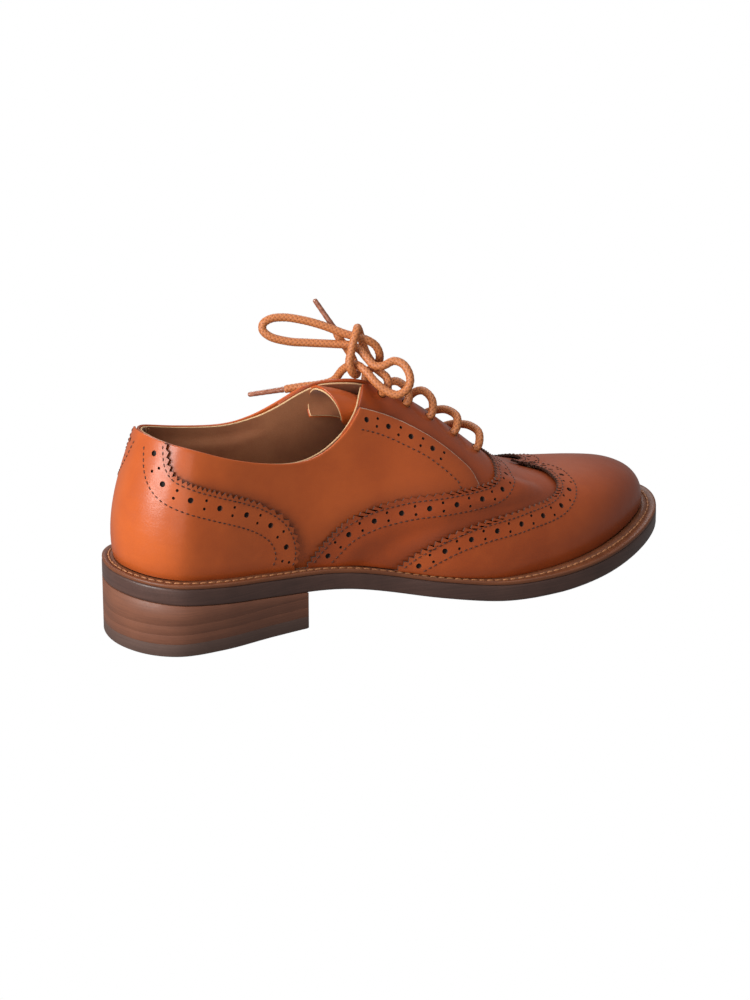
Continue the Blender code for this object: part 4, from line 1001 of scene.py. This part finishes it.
def lacing_route():
    """Straight bars outside and short runs beneath each facing, as one length of lace."""
    route = [tuple(eyelet(OUTER, 0, off)) for off in (RUN_END, HOLE_OFFS[-1])]
    side = OUTER
    for number in range(1, len(EYELETS)):
        route += beneath(side, number - 1, number) + through_eyelet(side, number, inwards=False)
        route += BARS[number] if side == OUTER else BARS[number][::-1]
        side = -side
        route += through_eyelet(side, number)
    route += LONG_RUN
    return route + [tuple(eyelet(INNER, 0, off)) for off in (HOLE_OFFS[-1], RUN_END)]


def free_end(side, points):
    """A free end, straight out of its top eyelet."""
    return [tuple(eyelet(side, 0, off)) for off in (FREE_START, EXIT_OFF)] + list(points)


# ---------------------------------------------------------------- putting pieces in the model

def wear(piece, body, slot, *nodes):
    """The piece moves with a body and stands for CAD nodes, which are hidden; slot is not used."""
    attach(piece, body)
    if nodes:
        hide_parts(*nodes)
    return piece


def near(side, w, t, line_, reach):
    """1 on a drawn line, fading to 0 at reach mm from it."""
    spot = on_last(side, w, t, 0.0)
    dense = on_last(side, line_[:, 0], line_[:, 1], 0.0)
    gap = np.array([np.linalg.norm(dense - p, axis=1).min() for p in spot])
    return np.clip(1 - gap / reach, 0, 1) ** 2


def row(side, line_, levels, everywhere=False):
    """Points and normals of a line on a piece's outer face, clear of the ridge unless everywhere."""
    keep = (line_[:, 1] < 0.992) & (line_[:, 1] > 0.012) | everywhere
    w, t = line_[keep].T
    return on_last(side, w, t, levels(side, w, t)[1]), last_normal(side, w, t)


# ---------------------------------------------------------------- the upper

EDGE_ROW = 1.8               # the stitch row beside a pinked edge
FOX_BAND, VAMP_BAND, CAP_BAND = (5.9, 11.4), (5.2, 8.9), (5.0, 8.4)   # holes, inner stitch row
HEEL_LINE = FOXING_NECK[:-1] + FOXING_EDGE[::-1]
FOX_IN, VAMP_IN, CAP_IN, QUARTER_IN = (0.15, 0.2), (0.62, 0.25), (0.88, 0.35), (0.42, 0.5)
QUARTER_EDGE = {OUTER: QUARTER_EDGE_OUTER, INNER: QUARTER_EDGE_INNER}
FACING_FOOT = {OUTER: FACING_FOOT_OUTER, INNER: FACING_FOOT_INNER}
QUARTER_HOLES, QUARTER_ROW = 4.4, 9.0
LINE_STEP = 1.2              # between the points of a line that carries holes and stitches
FOLD = 0.006                 # rise below the topline that its folded edge takes up


def foot_shade(side, w, t):
    """Painted shade where the upper turns in at the welt."""
    return 0.35 * np.clip(1 - np.asarray(t) / 0.07, 0, 1)


def at_topline(side, w, t):
    return abs(t - topline_rise(side, w)) < FOLD


def finished(piece, name, slot, holes, rows, long=STITCH_LONG):
    """Cut a piece's holes, sew its rows, and put leather and thread in the model."""
    drilled(piece, hole_cutter(holes, [MATS["hole_wall"], MATS["hole_floor_shade"]]))
    wear(piece, SHOE, slot, name)
    wear(stitches(name + "_stitches", rows, MATS["dark_thread"], long=long), SHOE, slot)


def trimmed(piece, name, slot, levels, edge, inside, band, first, bare, step):
    """Finish a pinked piece: holes along its edge on both sides, between two stitch rows."""
    holes, rows = [], []
    for side in BOTH:
        line_ = smooth_line(edge, side, LINE_STEP)
        holes += brogue_holes(side, moved_in(line_, side, band[0], inside), levels, first, bare, step)
        rows += [row(side, moved_in(line_, side, far, inside), levels) for far in (EDGE_ROW, band[1])]
    finished(piece, name, slot, holes, rows)


def make_quarter(side):
    front = ends_on_topline(fine(QUARTER_EDGE[side], 36), side)
    foot = np.vstack([closer((BACK_SEAM, 0), QUARTER_UNDER_VAMP[0], 40)[:-1],
                      fine(QUARTER_UNDER_VAMP, 20)])
    top = topline_part(side, BACK_SEAM, front[-1, 0], len(foot) - 1)
    back = straight((BACK_SEAM, 0), (BACK_SEAM, BACK_RISE), 36)
    edges = [smooth_line(points, side, 3) for points in (HEEL_LINE, VAMP_EDGE)]

    # Edges off the topline take the pale cut edge, lightened as a painted highlight
    def rim(side, w, t):
        return (0, 1.0) if at_topline(side, w, t) else (1, 0.9)

    # Painted shade on the quarter beside the foxing's and vamp's edges, which lie over it: a broad painted
    # shade, and a painted shadow line right under the edges
    def shade(side, w, t):
        wide = np.maximum(near(side, w, t, edges[0], 7), near(side, w, t, edges[1], 10)) * 0.55
        edge_shadow = np.maximum(near(side, w, t, edges[0], 3), near(side, w, t, edges[1], 3.5)) * 1.15
        return np.maximum(wide, edge_shadow)

    name = f"quarter_{WORD[side]}"
    levels = flat(BASE)
    piece = leather(name, {side: patch(foot, top, back, front)}, levels,
                    [MATS["calf"], MATS["pale_edge_and_highlight"]], rim, shade)
    edge = smooth_line(QUARTER_EDGE[side], side, LINE_STEP)
    band = moved_in(edge[::-1], side, QUARTER_HOLES, QUARTER_IN)
    low = moved_in(edge, side, QUARTER_ROW, QUARTER_IN)
    low = low[low[:, 1] > 0.40]
    finished(piece, name, "upper_leather", brogue_holes(side, band, levels, 3.0, 26, 10.9),
             [row(side, low, levels)], 1.6)


def fox_grid(side):
    edge = topline_part(side, 0, FOXING_NECK[0][0], 14)
    neck = fine((tuple(edge[-1]),) + FOXING_NECK[1:], teeth(78))
    front = fine(FOXING_EDGE, teeth(32))
    top = np.vstack([edge, neck[1:]])
    grid = patch(closer((0, 0), FOXING_EDGE[0], len(top) - 1), top,
                 straight((0, 0), (0, BACK_RISE), len(front) - 1), front)
    grid[-1, len(edge) - 1:] = pinked(neck, side, FOX_IN)
    grid[:, -1] = pinked(front, side, FOX_IN)
    return grid


def make_foxing():
    levels = flat(OVERLAY)
    lines = {side: smooth_line(HEEL_LINE, side, LINE_STEP) for side in BOTH}

    def rim(side, w, t):
        return (0, 1.0) if w < 0.085 and at_topline(side, w, t) else (1, 0.3)

    def shade(side, w, t):
        at = side or OUTER
        return np.maximum(0.5 * near(at, w, t, lines[at], 5), foot_shade(side, w, t))

    piece = leather("heel_foxing", {side: fox_grid(side) for side in BOTH}, levels,
                    [MATS["calf"], MATS["raw_edge"]], rim, shade)
    trimmed(piece, "heel_foxing", "upper_leather", levels, HEEL_LINE, FOX_IN, FOX_BAND, 3.5, 4, 13.5)


def pinked_rim(side, w, t):
    return 1, 0.3


def vamp_grid(side):
    back, front = fine(VAMP_EDGE, teeth(172)), fine(VAMP_FRONT, teeth(172))
    grid = patch(straight(VAMP_EDGE[0], VAMP_FRONT[0], 20),
                 straight(VAMP_EDGE[-1], VAMP_FRONT[-1], 20), back, front)
    grid[:, 0] = pinked(back, side, VAMP_IN)
    return grid


def make_vamp():
    lines = {side: (smooth_line(VAMP_EDGE, side, 3), smooth_line(CAP_EDGE, side, 3)) for side in BOTH}

    # Burnish beside the vamp's own pinked edge; painted shade beside the toe cap's edge, which lies over
    # it, with a painted shadow line right under that edge
    def shade(side, w, t):
        at = side or OUTER
        wide = np.maximum(0.5 * near(at, w, t, lines[at][0], 8), 0.6 * near(at, w, t, lines[at][1], 9))
        return np.maximum(wide, 1.15 * near(at, w, t, lines[at][1], 3.5))

    piece = leather("vamp", {side: vamp_grid(side) for side in BOTH}, vamp_levels,
                    [MATS["vamp_calf"], MATS["raw_edge"]], pinked_rim, shade)
    trimmed(piece, "vamp", "burnished_leather", vamp_levels, VAMP_EDGE, VAMP_IN, VAMP_BAND,
            11.5, 4, 12.4)


def cap_grid(side):
    back = fine(CAP_EDGE, teeth(168))
    toe = closer((1, 0), back[0], 44, 1.1)[::-1]
    ridge = closer((1, 1), back[-1], 44, 0.8)[::-1]
    front = np.stack([np.ones(len(back)), back[:, 1]], 1)
    grid = patch(toe, ridge, back, front)
    grid[:, 0] = pinked(back, side, CAP_IN)
    return grid


def make_cap():
    levels = flat(OVERLAY)
    lines = {side: smooth_line(CAP_EDGE, side, 3) for side in BOTH}

    def shade(side, w, t):
        at = side or OUTER
        return np.maximum(0.45 * near(at, w, t, lines[at], 7), foot_shade(side, w, t))

    piece = leather("toe_cap", {side: cap_grid(side) for side in BOTH}, levels,
                    [MATS["cap_calf"], MATS["raw_edge"]], pinked_rim, shade)
    trimmed(piece, "toe_cap", "burnished_leather", levels, CAP_EDGE, CAP_IN, CAP_BAND, 11.8, 3, 12.7)


def make_facing(side):
    points = FACING_FOOT[side]
    dense = topline_part(side, points[0][0], LACE_EDGE[0][0], 200)
    rear = crowded([tuple(dense[k]) for k in (0, 50, 100, 150, 200)], 26)
    foot = fine((tuple(rear[0]),) + points[1:], 36)
    name = f"facing_{WORD[side]}"
    line_ = smooth_line(QUARTER_EDGE[side], side, 3)

    # Painted shade along the quarter's edge, which lies over the facing, with a painted shadow line right
    # under it
    def shade(side, w, t):
        return np.maximum(0.6 * near(side, w, t, line_, 6), 1.1 * near(side, w, t, line_, 2.4))

    piece = leather(name, {side: patch(foot, fine(LACE_EDGE, 36), rear, crowded(FACING_FRONT, 26))},
                    flat(FACING), [MATS["facing_calf"]], lambda side, w, t: (0, 1.0), shade)
    holes = eyelet_holes(side, FACING[1], EYELET_RADIUS, 4.0)
    drilled(piece, hole_cutter(holes, [MATS["hole_wall"]] * 2, 28))
    wear(piece, SHOE, "burnished_leather", name)


def lining_rim(side, w, t):
    return 1, 1.0


def make_quarter_lining(side):
    back = ends_on_topline(crowded(GRIP_SEAM, 26), side)
    edge = fine(LACE_EDGE + (LINING_SEAM[-1],), 24)
    top = np.vstack([topline_part(side, back[-1, 0], LACE_EDGE[0][0], 36)[:-1], edge])
    grid = patch(straight(GRIP_SEAM[0], LINING_SEAM[0], len(top) - 1), top, back,
                 crowded(LINING_SEAM, 26))
    grid[:, 0, 0] += SEAM_GAP
    name = f"quarter_lining_{WORD[side]}"
    piece = leather(name, {side: grid}, lining_levels, [MATS["lining"], MATS["lining_edge"]],
                    lining_rim)
    holes = eyelet_holes(side, LINING_AT_EDGE[1], LINING_HOLE_RADIUS, 6.0)
    drilled(piece, hole_cutter(holes, [MATS["lining"]] * 2, 24))
    wear(piece, SHOE, "lining", name)


def make_grip_lining():
    grip = {side: patch(closer((0, 0), GRIP_SEAM[0], 28),
                        topline_part(side, 0, GRIP_SEAM[-1][0], 28),
                        straight((0, 0), (0, BACK_RISE), 26),
                        ends_on_topline(fine(GRIP_SEAM, 26), side)) for side in BOTH}
    piece = leather("heel_grip_lining", grip, lining_levels, [MATS["grip"], MATS["lining_edge"]],
                    lining_rim)
    wear(piece, SHOE, "lining", "heel_grip_lining")


def sew_linings():
    """Two rows of pale thread beside the seam between each quarter lining and the grip."""
    rows = []
    for side in BOTH:
        seam = ends_on_topline(smooth_line(GRIP_SEAM, side, 1.5), side)
        for shift in (-0.007, 0.011):
            w, t = (seam + (shift, 0)).T
            place = on_last(side, w, t, lining_levels(side, w, t)[0])
            rows.append((place, -last_normal(side, w, t)))
    wear(stitches("lining_stitches", rows, MATS["pale_thread"]), SHOE, "lining")


# ---------------------------------------------------------------- the bottom

STITCH_SHARE = 0.46          # where the welt's stitches run between the sole's edge and the upper
GROOVE_DEEP = 0.35


def ring_of(inset, xs_count, front=None):
    """Points (x, y) round the outline, set in by inset, from the back up the outer side."""
    edge = offset_outline(inset)
    low = edge[:, 0].min()
    turn = np.linspace(0, math.pi if front is None else math.pi / 2, xs_count + 1)
    if front is None:
        xs = low + (edge[:, 0].max() - low) * (1 - np.cos(turn)) / 2
    else:
        xs = low + (front - inset - low) * (1 - np.cos(turn))
    outer, inner = split_sides(edge, xs)
    end = xs_count if front is None else xs_count + 1
    far = np.stack([xs, outer], 1)
    home = np.stack([xs, inner], 1)[1:end][::-1]
    return np.vstack([far, home])


def slab(name, profile, mats, front=None, count=110):
    """A layer of the sole from its profile: (inset, height above) pairs from bottom to top."""
    rings = []
    for inset, height in profile:
        flat_ring = ring_of(inset, count, front)
        rings.append(np.column_stack([flat_ring, height(flat_ring[:, 0])]))
    size = len(rings[0])
    faces = grid_faces(len(rings), size, wrap=True)
    for base, turn in ((0, 1), ((len(rings) - 1) * size, -1)):
        for k in range(count):
            quad = [base + k, base + k + 1, base + (size - k - 1) % size, base + (size - k) % size]
            quad = list(dict.fromkeys(quad))
            if len(quad) > 2:
                faces.append(tuple(quad[::turn]))
    return add_mesh(name, np.vstack(rings), faces, mats, smooth_angle=50)


def above(rise):
    return lambda x: underside(x) + rise


def level(height):
    return lambda x: np.full_like(x, height)


def make_bottom():
    profile = ((1.3, above(0)), (0.5, above(0.12)), (0.1, above(0.6)), (0.0, above(1.3)),
               (0.0, above(3.8)), (0.0, above(6.3)), (0.12, above(6.9)), (0.6, above(7.35)),
               (1.4, above(OUTSOLE_THICK)))
    wear(slab("outsole", profile, [MATS["sole"]]), SHOE, "outsole", "outsole")
    tops = [TOP_PIECE_HIGH, TOP_PIECE_HIGH + GAP + LIFT_HIGH, TOP_PIECE_HIGH + 2 * (GAP + LIFT_HIGH)]
    names = ("heel_top_piece", "heel_lift_lower", "heel_lift_upper")
    low = 0.0
    for name, high in zip(names, tops):
        rubber = name == "heel_top_piece"
        edge = 0.5 if rubber else 0.02
        profile = ((edge, level(low)), (0.0, level(low + edge)),
                   (0.0, level(high + 0.08)), (0.02, level(high + 0.09)))
        wear(slab(name, profile, [MATS["rubber" if rubber else "stack"]], BREAST_X, 70), SHOE,
             "top_piece" if rubber else "heel_stack", name)
        low = high + GAP
    profile = ((0.02, level(low)), (0.0, level(low + 0.02)), (0.0, above(-0.05)), (0.02, above(-0.03)))
    wear(slab("heel_seat_lift", profile, [MATS["stack"]], BREAST_X, 70), SHOE, "heel_stack",
         "heel_seat_lift")
    make_welt()


def make_welt(count=420):
    point, out = outline_at(np.arange(count) / count)
    x = point[:, 0]
    wide = rule(FEATHER_INSET, x)
    groove = STITCH_SHARE * wide
    base = OUTSOLE_THICK + GAP
    top = base + WELT_THICK
    level_edge = np.zeros_like(x)
    profile = ((level_edge + 0.25, base), (level_edge + 0.05, base + 0.5),
               (level_edge + 0.12, top - 0.5), (level_edge + 0.45, top - 0.1),
               (level_edge + 0.9, top), (groove - 0.75, top), (groove - 0.4, top - GROOVE_DEEP),
               (groove + 0.4, top - GROOVE_DEEP), (groove + 0.75, top + 0.05),
               (groove + 0.3 * wide, top + 0.3), (groove + 0.42 * wide, top + 0.1),
               (wide + 3, top - 0.1), (wide + 3, base))
    rows = []
    for inset, rise in profile:
        edge = point - out * inset[:, None]
        rows.append(np.column_stack([edge, underside(edge[:, 0]) + rise]))
    faces = grid_faces(len(rows), count, wrap=True)
    faces += [((len(rows) - 1) * count + j, (len(rows) - 1) * count + (j + 1) % count,
               (j + 1) % count, j) for j in range(count)]
    wear(add_mesh("welt", np.vstack(rows), faces, [MATS["welt"]], smooth_angle=55), SHOE, "welt", "welt")
    edge = point - out * groove[:, None]
    line_ = np.column_stack([edge, underside(edge[:, 0]) + top - 0.2])
    line_ = np.vstack([line_, line_[:1]])
    up = np.tile((0.0, 0.0, 1.0), (len(line_), 1))
    up[:, :2] = np.vstack([out, out[:1]]) * 0.15
    piece = stitches("welt_thread", [(line_, up)], MATS["welt_thread"], 3.7, 3.5, 0.95, 0.5)
    wear(piece, SHOE, "welt_thread", "welt_thread")


# ---------------------------------------------------------------- the tongue

def make_tongue():
    """The tongue and its lining, each a sheet that arches from edge to edge."""
    xs = np.linspace(*TONGUE_X, 66)
    arch = np.sin(np.linspace(-1, 1, 45) * TONGUE_BEND) / math.sin(TONGUE_BEND)
    faces = grid_faces(len(xs), len(arch))
    depth = 0.0
    for name, thick, mats, slot in (
            ("tongue", TONGUE_THICK, [MATS["tongue_calf"]], "burnished_leather"),
            ("tongue_lining", TONGUE_LINING_THICK, [MATS["lining"], MATS["lining_edge"]], "lining")):
        outside, inside = (tongue_skin(xs, arch, d) for d in (depth, depth + thick))
        piece = shell(name, outside, inside, [tuple(f[::-1]) for f in faces], mats,
                      lambda n, k=len(mats) - 1: (k, 1.0), {"burnish_and_shade": np.zeros(len(outside))})
        wear(piece, TONGUE, slot, name)
        depth += thick + TONGUE_PARTED


# ---------------------------------------------------------------- the laces

STRANDS = 5                  # that wind each way round the braid
BRAID_PITCH = 1.9
BRAID_DEEP = 0.2
INNER_LENGTH, OUTER_LENGTH = 0.224, 0.090     # of the free ends, m


def tube(path, radii, sides):
    """Points of a tube along a path; radii holds a row of radii, one per side, for each point."""
    along = unit(np.gradient(path, axis=0))
    across = np.cross(along[0], (0.3, 0.2, 0.93))
    turns = np.linspace(0, 2 * math.pi, sides, endpoint=False)
    rows = []
    for p, d, r in zip(path, along, radii):
        across = unit(across - d * (across @ d))
        other = np.cross(d, across)
        rows.append(p + (np.outer(np.cos(turns), across) + np.outer(np.sin(turns), other)) * r[:, None])
    last = (len(path) - 1) * sides
    faces = grid_faces(len(path), sides, wrap=True)
    faces += [tuple(range(sides - 1, -1, -1)), tuple(range(last, last + sides))]
    return np.vstack(rows), faces


def lace(name, route, step=0.32, sides=30):
    """A round braid along a route: its strands cross over and under each other."""
    dense = through(route, 4000)
    long = distances(dense)[-1]
    path = evenly(dense, round(long / step))
    z = np.linspace(0, long, len(path))[:, None]
    turn = np.linspace(0, 2 * math.pi, sides, endpoint=False)[None, :]
    climb = z * 2 * math.pi / BRAID_PITCH
    one, two = STRANDS * turn + climb, STRANDS * turn - climb
    over = (np.round(one / (2 * math.pi)) + np.round(two / (2 * math.pi))) % 2 == 0
    rise = [np.sqrt(0.5 + 0.5 * np.cos(a)) for a in (one, two)]
    height = np.maximum(rise[0] * np.where(over, 1, 0.55), rise[1] * np.where(over, 0.55, 1))
    end = np.minimum(np.minimum(z, long - z) / 0.8, 1)
    radii = (LACE_RADIUS - BRAID_DEEP * (1 - height)) * (0.82 + 0.18 * end)
    points, faces = tube(path, radii, sides)
    piece = add_mesh(name, points, faces, [MATS["lace"]], attributes={"braid": height.ravel()},
                     smooth_angle=75)
    return piece, (path[::8] + (0, CENTRE_Y, 0)) * MM


def aglet(name, start, way):
    """The lace's bound tip: film over the braid, flared at its mouth and round at its end."""
    shares = np.array([0, 0.03, 0.08, 0.3, 0.6, 0.9, 0.96, 0.99, 1.0])
    radii = np.array([1.24, 1.3, 1.2, 1.14, 1.1, 1.08, 1.0, 0.75, 0.4])
    fine_shares = np.linspace(0, 1, 60) ** 0.9
    path = start + unit(way) * (fine_shares * AGLET_LONG)[:, None]
    turn = np.linspace(0, 2 * math.pi, 24, endpoint=False)[None, :]
    ripple = 1 + 0.025 * np.sin(4 * turn + 9 * fine_shares[:, None] * AGLET_LONG / 4)
    points, faces = tube(path, np.interp(fine_shares, shares, radii)[:, None] * ripple, 24)
    return add_mesh(name, points, faces, [MATS["aglet"]], smooth_angle=60)


def make_laces():
    run, _ = lace("lace_run", lacing_route())
    wear(run, SHOE, "lace", "lace_run")
    for side, points, way, length in ((OUTER, OUTER_END, OUTER_AGLET, OUTER_LENGTH),
                                      (INNER, INNER_END, INNER_AGLET, INNER_LENGTH)):
        name = f"lace_end_{WORD[side]}"
        piece, path = lace(name, free_end(side, points))
        wear(piece, SHOE, "lace", name)
        tip = aglet(f"aglet_{WORD[side]}", np.array(points[-1]) + unit(way) * CORD_GAP, way)
        wear(tip, SHOE, "aglet", f"aglet_{WORD[side]}")
        tuple(path[0])


# ---------------------------------------------------------------- build

HIDDEN = {"steel": ("shank", "heel_nail_1", "heel_nail_2", "heel_nail_3", "heel_nail_4"),
          "cork": ("bottom_filler",), "board": ("insole_board", "heel_counter", "toe_puff"),
          "liner": ("sock_liner",), "lining": ("vamp_lining",)}


def finish_hidden():
    """CAD pieces that keep their shape get their real finish."""
    for mat, names in HIDDEN.items():
        for name in names:
            mesh = frame["nodes"][name].data
            mesh.materials.clear()
            mesh.materials.append(MATS[mat])


make_studio()
make_camera()
MATS = {
    "lace": braided("lace", (0.60, 0.20, 0.06), (0.24, 0.062, 0.018)),
    "aglet": aglet_film("aglet"),
    # Darker towards the front of the shoe: painted shade where less light falls
    "calf": calf("calf", TAN, TAN_DEEP, 0.1, 0.55, (0.55, -65, 30)),
    "cap_calf": calf("cap_calf", TAN, TAN_DEEP, 0.45, 0.95, (0.95, 55, 125)),
    "vamp_calf": calf("vamp_calf", TAN_DEEP, BURNT, 0.05, 0.5),
    "facing_calf": calf("facing_calf", TAN_DEEP, BURNT, 0.25, 0.75),
    # Leans darker than the quarter's calf: painted shade on the tongue
    "tongue_calf": calf("tongue_calf", TAN, TAN_DEEP, 0.4, 0.95),
    "raw_edge": cut_edge("raw_edge", (0.15, 0.062, 0.038), (0.03, 0.013, 0.009)),
    # A pale raw edge, made paler still as a painted highlight where the quarter's edge lies over the
    # facing
    "pale_edge_and_highlight": cut_edge("pale_edge_and_highlight", (0.66, 0.46, 0.35), (0.42, 0.24, 0.16)),
    "hole_wall": cut_edge("hole_wall", (0.12, 0.04, 0.02), (0.04, 0.014, 0.009)),
    # Near black: painted shade at the bottom of the brogue holes
    "hole_floor_shade": plain("hole_floor_shade", (0.012, 0.007, 0.006), 0.9),
    "dark_thread": thread("dark_thread", (0.11, 0.028, 0.011), (0.05, 0.014, 0.007)),
    "pale_thread": thread("pale_thread", (0.5, 0.28, 0.13), (0.35, 0.18, 0.08)),
    "welt_thread": thread("welt_thread", (0.50, 0.215, 0.085), (0.28, 0.10, 0.036)),
    "lining": lining_leather("lining", (0.42, 0.16, 0.065), (0.31, 0.105, 0.04)),
    "grip": lining_leather("grip", (0.27, 0.10, 0.045), (0.18, 0.062, 0.028)),
    "liner": lining_leather("liner", (0.55, 0.36, 0.18), (0.44, 0.26, 0.12)),
    "lining_edge": cut_edge("lining_edge", (0.72, 0.48, 0.26), (0.55, 0.33, 0.16)),
    "sole": sole_edge("sole", (0.105, 0.053, 0.041), (0.052, 0.028, 0.023), 0.36),
    "stack": sole_edge("stack", (0.225, 0.085, 0.046), (0.14, 0.054, 0.032), 0.5),
    "rubber": sole_edge("rubber", (0.125, 0.072, 0.056), (0.085, 0.048, 0.038), 0.6),
    "welt": sole_edge("welt", (0.22, 0.07, 0.026), (0.12, 0.036, 0.015), 0.42),
    "steel": brushed("steel", (0.55, 0.55, 0.56), 0.35),
    "cork": corky("cork"),
    "board": cut_edge("board", (0.5, 0.4, 0.28), (0.4, 0.3, 0.2)),
}
make_laces()
for side in BOTH:
    make_quarter(side)
make_foxing()
make_vamp()
make_cap()
for side in BOTH:
    make_facing(side)
for side in BOTH:
    make_quarter_lining(side)
make_grip_lining()
sew_linings()
make_bottom()
make_tongue()
finish_hidden()
